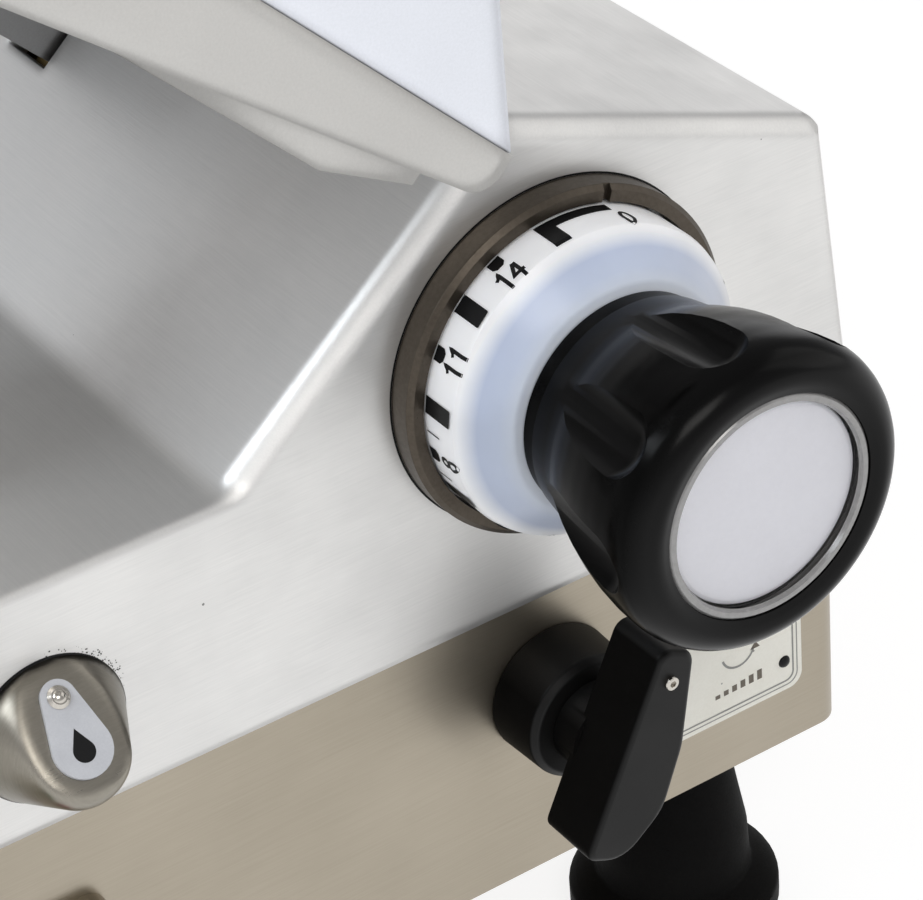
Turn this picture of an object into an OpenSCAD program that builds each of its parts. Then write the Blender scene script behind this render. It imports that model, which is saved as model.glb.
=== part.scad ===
// Electric gravity-feed food slicer with an automatic carriage drive.
// X runs to the right, Y to the back and Z up, seen by the operator at the thickness knob.
// Lengths are in millimetres and angles in degrees.

/* [Base] */
// Height of the feet
foot_h = 66; // [58:1:76]
// Radius of the flange round a foot
foot_r = 28; // [25:0.5:31]
// Distance of a foot's axis from the side of the casting
foot_side_in = 38.5; // [34:0.5:44]
// Distance of a foot's axis from the front and the back of the casting
foot_end_in = 32; // [31:1:44]
// Height of the stainless skirt
skirt_h = 79.5; // [74:0.5:92]
// Sheet thickness of the skirt and the bottom plate
sheet = 2; // [1.5:0.25:3]
// Step from the casting's side in to the skirt
skirt_side_step = 5; // [4:0.2:9]
// Step from the casting's front in to the skirt
skirt_front_step = 1; // [0.6:0.1:2]
// Radius of the skirt's upright corners
skirt_corner_r = 7; // [5:0.5:10]

/* [Casting] */
// Reach of the casting to the left of the dial axis
base_left = 225; // [222:1:245]
// Reach of the casting to the right of the dial axis, at the seam
base_right = 86.5; // [84:0.5:92]
// Depth of the casting
base_depth = 490; // [486:1:520]
// Wall thickness of the casting
casting_wall = 6; // [5:0.25:7]
// Height of the dial axis above the seam
dial_up = 64.5; // [62:0.5:75]
// Drop from the dial axis to the deck
deck_drop = 3; // [0:0.5:6]
// Distance from the dial axis to the foot of the slanted wall
wall_foot = 85; // [80:0.5:88]
// Lean of the slanted wall from upright
wall_lean = 49.7; // [47:0.1:52]
// Height of the nose's top above the dial axis
nose_top = 58; // [56:0.5:64]
// Fall of the nose's top towards the right
nose_fall = 19.8; // [15:0.1:22]
// Draft of the casting's right side
side_draft = 5.9; // [3:0.1:7]
// Length of the nose from front to back
nose_len = 200; // [198:1:215]
// Radius of the round behind the front edge's ground band, and of the rear edges
edge_r = 5; // [3:0.25:6]
// Width of the ground band along the nose's front edge
band_w = 3.4; // [2:0.1:4]
// Radius of the nose's ridge
ridge_r = 12; // [8:0.5:16]
// Radius of the inner corner at the foot of the slanted wall
valley_r = 10; // [6:0.5:14]

/* [Thickness knob] */
// Radius of the dial ring
dial_r = 38; // [37:0.25:39]
// Radial width of the bezel
bezel_w = 3.9; // [3:0.1:6]
// Height of the bezel off the casting
bezel_h = 7; // [5:0.5:8]
// Depth of the dial ring's straight band
dial_band = 16.5; // [14:0.5:20]
// Depth of the dial ring's cone
dial_cone = 9.5; // [7:0.5:11]
// Radius of the knob's neck
knob_neck_r = 26.2; // [25:0.2:27]
// Largest radius of the knob
knob_r = 36.2; // [35:0.1:37]
// Length of the knob
knob_len = 53; // [48:0.5:60]
// Number of finger flutes round the knob
flutes = 8; // [6:1:9]
// Radius of a finger flute
flute_r = 9; // [8:0.5:10]
// Radius of the lens on the knob
lens_r = 26.2; // [24:0.2:27]
// Radius of the knob shaft
knob_shaft_r = 8; // [7:0.25:9]

/* [Gauge plate] */
// Slope of the tray and of the blade's axis
feed_slope = 45; // [43:0.5:47]
// Largest slice thickness
slice_max = 14; // [10:1:14]
// Turn of the knob from zero to the largest slice
knob_turn = 313.5; // [290:0.5:315]
// Distance of the cutting plane from the dial axis
cut_plane = 125; // [122:0.5:128]
// Thickness of the gauge plate
gauge_t = 8; // [6:0.5:9]
// Distance of the gauge plate's lower edge up the slope
gauge_low = 30; // [28:0.5:31]
// Width of the gauge plate up the slope
gauge_wide = 205; // [190:1:220]

/* [Blade] */
// Radius of the blade
blade_r = 150; // [146:0.5:152]
// Distance of the blade's axis up the slope
blade_up = 170; // [168:0.5:174]
// Distance of the blade's axis from the front
blade_y = 292; // [290:0.5:298]
// Gap between the blade's edge and its ring guard
guard_gap = 3; // [2.5:0.25:4]
// Width of the ring guard
guard_w = 8; // [6:0.5:9]

/* [Carriage] */
// Gap between the cutting plane and the tray
tray_gap = 3; // [2:0.25:5]
// Length of the tray along the feed
tray_len = 250; // [240:1:265]
// Width of the tray from front to back
tray_wide = 280; // [270:1:290]
// Distance of the tray's front edge ahead of the casting
tray_ahead = 94; // [90:1:98]
// Height of the tray's top up the slope
tray_up = 34; // [33:0.5:38]
// Thickness of the tray
tray_t = 5; // [4:0.5:6]
// Height of the front fence
fence_h = 80; // [70:1:95]
// Thickness of the front fence and of the tray's rim
fence_t = 6; // [5:0.5:8]
// Travel of the carriage
carriage_travel = 290; // [270:1:295]
// Radius of the slide bar
bar_r = 11; // [10:0.25:12]
// Distance of the slide bar to the left of the dial axis
bar_left = 133; // [132:0.5:136]
// Distance of the slide bar below the dial axis
bar_down = 40; // [39:0.5:41]

/* [Controls] */
// Distance of the mode lever's axis to the left of the dial axis
lever_left = 6; // [4:0.5:10]
// Distance of the mode lever's axis below the dial axis
lever_down = 92; // [90:0.5:100]
// Radius of the lever's round base
lever_base_r = 17; // [16:0.5:19]
// Height of the lever's round base
lever_base_h = 16; // [13:0.5:18]
// Length of the lever's handle
lever_len = 55; // [50:1:58]
// Width of the lever's handle
lever_w = 18; // [16:0.5:19]
// Turn of the lever's handle from upright
lever_turn = 26; // [20:1:30]
// Radius of the oil cap
oil_cap_r = 18; // [17:0.25:19]
// Length of the oil cap
oil_cap_len = 21; // [20:0.5:22]

/* [Clearances] */
// Radial running clearance of shafts
run_fit = 0.06; // [0.03:0.01:0.1]
// Gap between pieces that slide past each other
slide_gap = 0.4; // [0.3:0.05:0.6]
// Gap round an arm that passes through a wall
pass_gap = 2; // [1.5:0.25:2.5]

/* [Hidden] */
$fn = 64;
tiny = 0.01;
far = 600;

satin_aluminium = [0.76, 0.76, 0.75];
stainless = [0.66, 0.63, 0.58];
polished_steel = [0.72, 0.71, 0.69];
bronze = [0.40, 0.36, 0.31];
milky_white = [0.90, 0.92, 0.95];
black_plastic = [0.05, 0.05, 0.05];
pale_disc = [0.86, 0.86, 0.88];
cream = [0.86, 0.84, 0.76];
dark_steel = [0.35, 0.35, 0.36];
green_plastic = [0.10, 0.50, 0.22];
red_plastic = [0.72, 0.10, 0.08];
brass_metal = [0.72, 0.58, 0.28];
stone_grey = [0.55, 0.53, 0.50];

// Heights above the floor
seam_z = foot_h + skirt_h;
dial_z = seam_z + dial_up;
deck_z = dial_z - deck_drop;
bar_z = dial_z - bar_down;
bar_x = -bar_left;

// Feet stand in from the casting's outline
foot_xs = [foot_side_in - base_left, base_right - foot_side_in];
foot_ys = [foot_end_in, base_depth - foot_end_in];

// Skirt outline
skirt_x0 = skirt_side_step - base_left;
skirt_x1 = base_right - skirt_side_step;
skirt_y0 = skirt_front_step;
skirt_y1 = base_depth - skirt_front_step;
plate_top = foot_h + sheet;

// Section of the casting, anticlockwise seen from the front
section_drop = 10;
fall_tan = tan(nose_fall);
draft_tan = tan(side_draft);
ridge_run = (nose_top + deck_drop + wall_foot * fall_tan)
    / (cos(wall_lean) + sin(wall_lean) * fall_tan);
ridge = [ridge_run * sin(wall_lean) - wall_foot, deck_z + ridge_run * cos(wall_lean)];
shoulder_x = (base_right - (nose_top + dial_up) * draft_tan) / (1 - fall_tan * draft_tan);
shoulder = [shoulder_x, dial_z + nose_top - shoulder_x * fall_tan];
low_left = [-base_left, seam_z - section_drop];
low_right = [side_x(seam_z - section_drop), seam_z - section_drop];
nose_section = [low_left, low_right, shoulder, ridge, [-wall_foot, deck_z], [-base_left, deck_z]];
deck_step = 0.6;
deck_section = [
    low_left, low_right - [deck_step, 0], [side_x(deck_z) - deck_step, deck_z], [-base_left, deck_z]
];
shoulder_r = 3;
deck_edge_r = 14;
nose_radii = [0, 0, shoulder_r, ridge_r, valley_r, deck_edge_r];

// Share of the front edge's band and round that each side of the section takes
slim_share = 0.3;
nose_shares = [slim_share, slim_share, 1, 1, slim_share, slim_share];

// Profile of the front edge as distances in from the side and back from the front
band_turn = 45;
edge_steps = 4;
edge_deep = edge_r * sin(band_turn) + band_w * cos(band_turn);
front_edge = concat(
    [[edge_r * (1 - cos(band_turn)) + band_w * sin(band_turn), 0]],
    [for (k = [edge_steps:-1:0])
        let (turn = k * band_turn / edge_steps)
        [edge_r * (1 - cos(turn)), edge_deep - edge_r * sin(turn)]]
);

deck_radii = [0, 0, shoulder_r, deck_edge_r];
corner_steps = 6;

// Carriage column and the slot that it runs in
column_t = 20;
column_wide = 44;
column_y = 60;
slot_y0 = column_y - column_wide / 2 - pass_gap;
slot_y1 = column_y + carriage_travel + column_wide / 2 + pass_gap;
bar_y1 = base_depth - casting_wall - pass_gap;
boss_len = 26;
boss_wall = 8;

// Slide block, its bushes and the roller beside it
bush_wall = 4;
bush_len = 24;
block_wall = 9;
block_half = bar_r + bush_wall + block_wall;
block_len = 92;
roller_r = 12;
roller_w = 10;
roller_gap = 0.3;
roller_pin_r = 4;
rail_x = bar_x - block_half - roller_w / 2 - 16;
rail_w = 14;
rail_h = 13;

// Thickness drive along the knob shaft
bush_r = knob_shaft_r + 4;
bush_out = 30;
arm_y0 = 146;
arm_t = 14;
arm_half = 10;
cam_y = arm_y0 + arm_t + 2;
cam_t = 10;
pin_r = 3;
pin_gap = 0.3;
groove_d = 6;
follow_r = 36;
cam_r = follow_r + pin_r + 4;
web_y = cam_y + cam_t + 4;
web_t = 10;
web_half = 22;
arm_n0 = follow_r - pin_r - 3;
arm_n1 = cut_plane - gauge_t - arm_t;

// Dial and knob, measured out from the casting's front
dial_off = 0.6;
knob_z0 = dial_band + dial_cone + 0.7;
knob_z1 = knob_z0 + knob_len;
lens_t = 3;
disc_t = 1.2;

// Blade and its hub, measured along the cutting plane's normal
dish = 9.5;
hub_n = cut_plane - dish - 3.5;
neck_n1 = hub_n - 6;
bearing_r = 26;
bearing_t = 11;
bearing_deep = neck_n1 - 2 * bearing_t - 6;
belt_wide = 12;
pulley_n1 = bearing_deep - 2;
pulley_n0 = pulley_n1 - belt_wide - 2;
motor_n1 = pulley_n0 - 6;
motor_plate_t = 4;
belt_room_n0 = motor_n1 + motor_plate_t;
neck_n0 = belt_room_n0 - 3 * motor_plate_t;
hub_pulley_r = 32;
motor_pulley_r = 18;
belt_t = 3;
belt_room = 3;
rear_cover_y = base_depth - 6;
rear_cover_t = 3;
motor_up = 54;
motor_in = 72;
motor_y = rear_cover_y - motor_in;
motor_r = 35;
motor_len = 68;
hub_r = 12;
neck_r = 46;
housing_deep = 146;
housing_y0 = rear_cover_y - housing_deep;
housing_wall = 5;
housing_left = 95;
housing_right = 82;
housing_up = 150;

// Ring guard and the blade cover's ear
guard_in = blade_r + guard_gap;
guard_out = guard_in + guard_w;
guard_n0 = hub_n - 1;
guard_n1 = cut_plane + 1;
ear_turn = 45;
ear_r = guard_out + 9;
ear_half = 11;
stud_r = 4;

// Sharpener on a post behind the blade
post_r = 7;
post_n = hub_n - 28;
post_top = blade_up + blade_r + 54;
sharpener_low = blade_up + blade_r + 10;
sharpener_high = sharpener_low + 34;
stone_r = 15;
stone_t = 6;
stone_up = blade_up + blade_r - 6;
stone_split = 18;

// Tray edges along the feed
tray_n0 = cut_plane + tray_gap;
tray_n1 = tray_n0 + tray_len;
tray_y0 = -tray_ahead;
tray_y1 = tray_y0 + tray_wide;
tray_under = tray_up - tray_t;
rim_deep = 4;
rim_growth = 30;
rim_end_low = tray_under - rim_deep - rim_growth;
stop_h = 12;
rim_round = 6;
rib_t = 16;
rib_low = 14.4;
rib_foot = 20;
rib_n0 = tray_n0 + 12;
rib_n1 = tray_n0 + 190;
handle_out = 24;
handle_drop = 24;

// Pusher on its rod
rod_r = 7;
rod_up = tray_up + 74;
rod_y = tray_y1 - 16;
rod_n0 = tray_n0 + 14;
lug_t = 12;
lug_half = 9;
sleeve_r = 12;
sleeve_n0 = rod_n0 + lug_t + slide_gap;
sleeve_len = 48;
arm_ring_r = 19;
pusher_reach = 128;

// Carriage drive in the base
pulley_r = 20;
drive_x = -84;
drive_z = plate_top + 42;
drive_y0 = 66;
drive_y1 = base_depth - 74;
drive_w = 12;
fork_gap = 1;
fork_t = 4;
fork_half = 11;

// Cable gland at the back
gland_x = -60;
gland_z = seam_z - 40;
gland_r = 9;
gland_out = 14;
cable_r = 4;

// Control panel at the left of the skirt
panel_in = 56;
panel_x = panel_in - base_left;
panel_down = 105;
panel_z = dial_z - panel_down;
button_r = 9;
button_out = 7;

// The machine stands with the middle of its outline over the origin
left_end = slope_x(tray_up - handle_drop, tray_n1 + handle_out);
right_end = slope_x(post_top, post_n - post_r);
back_end = skirt_y1 + gland_out;
middle_x = (left_end + right_end) / 2;
middle_y = (back_end - tray_ahead) / 2;

function side_x(z) = base_right - (z - seam_z) * tan(side_draft);
function unit(v) = v / norm(v);
function left_of(a, b) = let (u = unit(b - a)) [-u[1], u[0]];

// Corner of an outline whose edges move in by d1 and d2
function moved_corner(a, p, b, d1, d2) =
    let (n1 = left_of(a, p), n2 = left_of(p, b), lean = n1 * n2)
    p + (d1 * (n1 - lean * n2) + d2 * (n2 - lean * n1)) / (1 - lean * lean);

function before(pts, i) = pts[(i + len(pts) - 1) % len(pts)];
function after(pts, i) = pts[(i + 1) % len(pts)];

// Outline whose edges each move in by their own distance, or all by d
function inset_by(pts, ds) = [
    for (i = [0:len(pts) - 1]) moved_corner(before(pts, i), pts[i], after(pts, i), before(ds, i), ds[i])
];
function inset(pts, d) = inset_by(pts, [for (p = pts) d]);

function inset_radius(pts, i, r, d) =
    r == 0 ? 0
    : cross(pts[i] - before(pts, i), after(pts, i) - pts[i]) > 0 ? max(r - d, 0.5)
    : r + d;

// Arc of radius r in the corner at p between the edges to a and b
function corner_arc(a, p, b, r) = r == 0 ? [p] :
    let (
        u1 = unit(a - p),
        u2 = unit(b - p),
        half = acos(u1 * u2) / 2,
        centre = p + unit(u1 + u2) * r / sin(half),
        start = p + u1 * r / tan(half) - centre,
        end = p + u2 * r / tan(half) - centre,
        a1 = atan2(start[1], start[0]),
        sweep = (atan2(end[1], end[0]) - a1 + 540) % 360 - 180
    )
    [for (k = [0:corner_steps]) centre + r * dir(a1 + sweep * k / corner_steps)];

function dir(angle) = [cos(angle), sin(angle)];

function rounded(pts, radii, d = 0) =
    let (moved = inset(pts, d))
    [for (i = [0:len(pts) - 1])
        each corner_arc(before(moved, i), moved[i], after(moved, i), inset_radius(pts, i, radii[i], d))];

// Ring of an outline that stands at depth y
function ring_at(pts, radii, y, d) = [for (p = rounded(pts, radii, d)) [p[0], y, p[1]]];

// Ring of the front edge, whose inset and depth at each point follow the share of its side
function front_ring(pts, radii, shares, in, deep) =
    let (moved = inset_by(pts, shares * in))
    [for (i = [0:len(pts) - 1])
        let (
            s1 = before(shares, i),
            s2 = shares[i],
            r = inset_radius(pts, i, radii[i], (s1 + s2) / 2 * in),
            arc = corner_arc(before(moved, i), moved[i], after(moved, i), r),
            last = len(arc) - 1
        )
        for (k = [0:last]) [arc[k][0], deep * (s1 + (s2 - s1) * k / max(last, 1)), arc[k][1]]];

// Rings that round an outline's rear edge at depth y
function rear_rings(pts, radii, y) = [
    for (k = [edge_steps:-1:0])
        let (turn = k * 90 / edge_steps)
        ring_at(pts, radii, y - edge_r * (1 - cos(turn)), edge_r * (1 - sin(turn)))
];

// A point up the slope (w), along the normal (n), as a sideways distance and a height
function slope_x(w, n) = w * cos(feed_slope) - n * sin(feed_slope);
function slope_z(w, n) = dial_z + w * sin(feed_slope) + n * cos(feed_slope);

// Local x runs up the slope, y to the back and z along the cutting plane's normal
module on_slope() translate([0, 0, dial_z]) rotate([0, -feed_slope, 0]) children();

// Local x runs to the right, y up and z to the front
module facing_front(x, y, z) translate([x, y, z]) rotate([90, 0, 0]) children();

// Outline in the upright plane, drawn out from depth y0 to y1
module along_depth(y0, y1) translate([0, y1, 0]) rotate([90, 0, 0]) linear_extrude(y1 - y0) children();

// Local z runs to the right
module facing_right(x, y, z) translate([x, y, z]) rotate([0, 90, 0]) children();

module at_blade_axis(n) on_slope() translate([blade_up, blade_y, n]) children();

module box(low, high) translate(low) cube(high - low);

module placed() translate([-middle_x, -middle_y, 0]) children();

module rounded_rect(low, high, r) {
    translate([low[0] + r, low[1]]) square([high[0] - low[0] - 2 * r, high[1] - low[1]]);
    translate([low[0], low[1] + r]) square([high[0] - low[0], high[1] - low[1] - 2 * r]);
    for (x = [low[0] + r, high[0] - r], y = [low[1] + r, high[1] - r]) translate([x, y]) circle(r);
}

// Solid through a row of rings, whose flat ends fan out from each end ring's second point
module loft(rings) {
    count = len(rings[0]);
    last = len(rings) - 1;
    end = last * count;
    sides = [
        for (k = [0:last - 1], i = [0:count - 1])
            let (j = (i + 1) % count, a = k * count, b = a + count)
            each [[a + i, a + j, b + j], [a + i, b + j, b + i]]
    ];
    front = [for (i = [2:count - 1]) [1, (i + 1) % count, i]];
    back = [for (i = [2:count - 1]) [end + 1, end + i, end + (i + 1) % count]];
    polyhedron([for (ring = rings) each ring], concat(front, sides, back));
}

// Outer form of the casting: nose and deck, with rounded front and rear edges
module casting_form() {
    loft(concat(
        [for (e = front_edge) front_ring(nose_section, nose_radii, nose_shares, e[0], e[1])],
        rear_rings(nose_section, nose_radii, nose_len)
    ));
    loft(concat(
        [ring_at(deck_section, deck_radii, nose_len / 2, 0)],
        rear_rings(deck_section, deck_radii, base_depth)
    ));
}

// Web inside the nose that holds the knob shaft's inner end
module shaft_web() along_depth(web_y, web_y + web_t) intersection() {
    polygon(inset(nose_section, casting_wall - 1));
    translate([-web_half, dial_z - web_half]) square([2 * web_half, far]);
}

// Boss under the deck that holds the slide bar's rear end
module bar_boss() box([bar_x - bar_r - boss_wall, bar_y1 - boss_len, bar_z - bar_r - boss_wall],
                      [bar_x + bar_r + boss_wall, bar_y1, deck_z - 1]);

// Body casting: deck and nose in one shell, open below
module body_casting() color(satin_aluminium) difference() {
    union() {
        difference() {
            casting_form();
            along_depth(casting_wall, nose_len - casting_wall) polygon(inset(nose_section, casting_wall));
            along_depth(casting_wall, base_depth - casting_wall) polygon(inset(deck_section, casting_wall));
        }
        shaft_web();
        bar_boss();
    }
    box([-far, -far, 0], [far, far, seam_z]);
    facing_front(0, web_y + web_t + 1, dial_z) cylinder(r = knob_shaft_r + run_fit, h = web_t + 2);
    facing_front(bar_x, bar_y1 + 1, bar_z) cylinder(r = bar_r + run_fit, h = boss_len + 2);
    facing_front(0, bush_out, dial_z) cylinder(r = bush_r + run_fit, h = bush_out + 1);
    facing_front(bar_x, casting_wall + 1, bar_z) cylinder(r = oil_stud_r + run_fit, h = casting_wall + 2);
    box([bar_x - column_t / 2 - pass_gap, slot_y0, bar_z],
        [bar_x + column_t / 2 + pass_gap, slot_y1, deck_z + 1]);
    on_slope() box([-arm_half - pass_gap, arm_y0 - pass_gap, follow_r],
                   [arm_half + pass_gap, arm_y0 + arm_t + pass_gap, cut_plane - gauge_t]);
}

// Skirt: stainless band under the casting, open above and below
module base_skirt() color(stainless) difference() {
    translate([0, 0, foot_h]) linear_extrude(skirt_h) difference() {
        rounded_rect([skirt_x0, skirt_y0], [skirt_x1, skirt_y1], skirt_corner_r);
        rounded_rect([skirt_x0 + sheet, skirt_y0 + sheet], [skirt_x1 - sheet, skirt_y1 - sheet],
                     skirt_corner_r - sheet);
    }
    facing_front(-lever_left, skirt_y0 + sheet + 1, dial_z - lever_down)
        cylinder(r = switch_neck_r + run_fit, h = sheet + 2);
    for (x = button_xs) facing_front(x, skirt_y0 + sheet + 1, panel_z)
        cylinder(r = button_r + slide_gap, h = sheet + 2);
    facing_front(gland_x, skirt_y1 + 1, gland_z) cylinder(r = gland_r + run_fit, h = sheet + 2);
}

// Bottom plate inside the skirt, level with its lower edge, with the idler's welded fork
module bottom_plate() color(stainless) difference() {
    union() {
        translate([0, 0, foot_h]) linear_extrude(sheet)
            rounded_rect([skirt_x0 + sheet + run_fit, skirt_y0 + sheet + run_fit],
                         [skirt_x1 - sheet - run_fit, skirt_y1 - sheet - run_fit], skirt_corner_r - sheet);
        for (x = [drive_x - drive_w / 2 - fork_gap - fork_t, drive_x + drive_w / 2 + fork_gap])
            box([x, drive_y0 - fork_half, plate_top - 1],
                [x + fork_t, drive_y0 + fork_half, drive_z + fork_half]);
    }
    facing_right(drive_x - far / 2, drive_y0, drive_z) cylinder(r = drive_shaft_r + run_fit, h = far);
    at_feet() translate([0, 0, foot_h - 1]) cylinder(r = bolt_r + run_fit, h = sheet + 2);
}

bolt_r = 4;
bolt_head_r = 7.5;
bolt_head_h = 6;
foot_well = 9;
foot_floor = 14;

module at_feet() for (x = foot_xs, y = foot_ys) translate([x, y, 0]) children();

// Feet: moulded cones with a broad flange, each hollow underneath
module feet() color(black_plastic) at_feet() rotate_extrude() polygon([
    [foot_well, 0], [foot_r - 2, 0], [foot_r, 3], [foot_r, 9], [foot_r - 2, 11.5],
    [foot_r - 7.4, 15], [foot_r - 8, foot_h * 0.41], [foot_r - 11, foot_h * 0.68],
    [foot_r - 13, foot_h], [bolt_r + run_fit, foot_h], [bolt_r + run_fit, foot_floor], [foot_well, foot_floor]
]);

// Foot bolts with their nuts on the bottom plate
module foot_bolts() color(dark_steel) at_feet() {
    translate([0, 0, foot_floor - bolt_head_h]) cylinder(r = bolt_head_r, h = bolt_head_h, $fn = 6);
    translate([0, 0, foot_floor - 1]) cylinder(r = bolt_r, h = plate_top + 10 - foot_floor);
    translate([0, 0, plate_top]) cylinder(r = bolt_head_r, h = bolt_head_h, $fn = 6);
}

// Cable gland at the back of the skirt, empty
module cable_gland() color(black_plastic) translate([gland_x, skirt_y1, gland_z]) rotate([-90, 0, 0])
    difference() {
        union() {
            translate([0, 0, -sheet - 4]) cylinder(r = gland_r, h = sheet + 5);
            cylinder(r = gland_r + 4, h = 5, $fn = 6);
            translate([0, 0, 4]) cylinder(r1 = gland_r + 2, r2 = gland_r - 2, h = gland_out - 4);
        }
        translate([0, 0, -far / 2]) cylinder(r = cable_r, h = far);
    }

// Slide bar of the carriage
module slide_bar() color(polished_steel)
    facing_front(bar_x, bar_y1, bar_z) cylinder(r = bar_r, h = bar_y1 - casting_wall);

// Rail for the carriage's roller, from the front wall to the rear wall
module guide_rail() color(polished_steel)
    box([rail_x - rail_w / 2, casting_wall, bar_z - roller_r - roller_gap - rail_h],
        [rail_x + rail_w / 2, base_depth - casting_wall, bar_z - roller_r - roller_gap]);

oil_stud_r = 6;
oil_round = 8;
oil_taper = 25;
oil_core_r = oil_cap_r - (oil_cap_len - oil_round) * tan(oil_taper) - oil_round / cos(oil_taper);
oil_hole_r = 2.5;
tag_t = 1.2;
tag_small_r = 4;
tag_big_r = 6.7;
tag_len = 11.7;
tag_up = 4.2;
rivet_r = 1.6;

// Local z is square to the oil cap's facet, local y runs up it
module on_oil_facet() facing_front(bar_x, 0, bar_z)
    translate([0, oil_cap_r / 2, oil_cap_r / 2]) rotate([-45, 0, 0]) children();

// Oil cap: tapered end cap of the slide bar with a slanted facet and the oil hole in it
module oil_cap() color(polished_steel) difference() {
    facing_front(bar_x, 0, bar_z) {
        rotate_extrude() polygon(concat(
            [[0, 0], [oil_cap_r, 0]],
            [for (k = [0:8])
                let (turn = oil_taper + k * (90 - oil_taper) / 8)
                [oil_core_r, oil_cap_len - oil_round] + oil_round * dir(turn)],
            [[0, oil_cap_len]]
        ));
        translate([0, 0, -casting_wall]) cylinder(r = oil_stud_r, h = casting_wall + 1);
    }
    on_oil_facet() translate([-far / 2, -far / 2, 0]) cube(far);
    on_oil_facet() translate([0, tag_up, -6]) cylinder(r = rivet_r + run_fit, h = far);
    on_oil_facet() translate([0, tag_up - tag_len, -7]) cylinder(r = oil_hole_r, h = far);
}

// Rivet on which the oil tag turns
module oil_rivet() color(polished_steel) on_oil_facet() translate([0, tag_up, 0]) {
    translate([0, 0, -6]) cylinder(r = rivet_r, h = 6 + tag_t + slide_gap + 0.5);
    translate([0, 0, tag_t + slide_gap]) cylinder(r1 = rivet_r + 1, r2 = rivet_r + 0.2, h = 0.8);
}

// Drop-shaped tag that covers the oil hole
module oil_tag() color(satin_aluminium) on_oil_facet()
    translate([0, tag_up, slide_gap / 2]) difference() {
        linear_extrude(tag_t) hull() {
            circle(tag_small_r, $fn = 32);
            translate([0, -tag_len]) circle(tag_big_r, $fn = 32);
        }
        translate([0, 0, -1]) cylinder(r = rivet_r + run_fit, h = tag_t + 2);
    }

// Bezel round the dial, with an index notch at the top
module dial_bezel() color(bronze) facing_front(0, 0, dial_z) difference() {
    rotate_extrude() polygon([
        [dial_r + dial_off, 0], [dial_r + dial_off + bezel_w, 0],
        [dial_r + dial_off + bezel_w, bezel_h - 1.2], [dial_r + dial_off + bezel_w - 1.2, bezel_h],
        [dial_r + dial_off, bezel_h]
    ]);
    rotate(index_turn) translate([dial_r - 1, -1, bezel_h - 1.5]) cube([bezel_w + 4, 2, 3]);
}

index_turn = 72;

// Bush of the knob shaft in the casting's front wall
module shaft_bush() color(brass_metal) facing_front(0, bush_out, dial_z) difference() {
    union() {
        cylinder(r = bush_r, h = bush_out);
        cylinder(r = bush_r + 5, h = bush_out - casting_wall);
    }
    translate([0, 0, -1]) cylinder(r = knob_shaft_r + run_fit, h = bush_out + 2);
}

shaft_in_knob = 36;

module knob_shaft() color(polished_steel) facing_front(0, web_y + web_t, dial_z)
    cylinder(r = knob_shaft_r, h = web_y + web_t + knob_z0 + shaft_in_knob);

// Radius of the scroll at an angle measured from the gauge arm
function scroll_r(angle) = follow_r + angle * slice_max / knob_turn;

scroll_spare = 10;
scroll_step = 5;
scroll_angles = [
    for (a = [-knob_turn - scroll_spare:scroll_step:scroll_spare]) a
];

// Scroll cam: disc whose spiral groove draws the gauge arm in as the knob turns
module scroll_cam() color(brass_metal) facing_front(0, cam_y + cam_t, dial_z) difference() {
    cylinder(r = cam_r, h = cam_t);
    translate([0, 0, -1]) cylinder(r = knob_shaft_r + run_fit, h = cam_t + 2);
    translate([0, 0, cam_t - groove_d]) linear_extrude(groove_d + 1) rotate(90 + feed_slope) polygon(concat(
        [for (a = scroll_angles) (scroll_r(a) + pin_r + pin_gap) * dir(a)],
        [for (i = [len(scroll_angles) - 1:-1:0])
            (scroll_r(scroll_angles[i]) - pin_r - pin_gap) * dir(scroll_angles[i])]
    ));
}

// Dial ring: milky cup with a straight band and a front cone
module dial_ring() color(milky_white) facing_front(0, 0, dial_z) rotate_extrude() polygon([
    [dial_r - 4, dial_off], [dial_r, dial_off], [dial_r, dial_band - 1.5], [dial_r - 0.4, dial_band],
    [dial_r - 1.4, dial_band + 0.8], [knob_neck_r + 2.4, dial_band + dial_cone - 0.5],
    [knob_neck_r + 1.4, dial_band + dial_cone], [knob_shaft_r + run_fit, dial_band + dial_cone],
    [knob_shaft_r + run_fit, dial_off], [bush_r + 4, dial_off], [bush_r + 4, dial_band - 4],
    [dial_r - 4, dial_band - 4]
]);

rim_deep_z = 9;
rim_z = knob_z1 - rim_deep_z;
neck_len = 4;
band_r = knob_neck_r + 1;
crease_r = band_r + 1.5;
crease_z = knob_z0 + 13;
body_steps = 6;
lens_seat = knob_z1 - 1 - lens_t - disc_t;

// Flutes lean outwards a little less than the knob's flare, so they deepen towards the front
flute_first = 97;
flute_lean = 6;
flute_bite = 0.15;
flute_len = 26;

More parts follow.
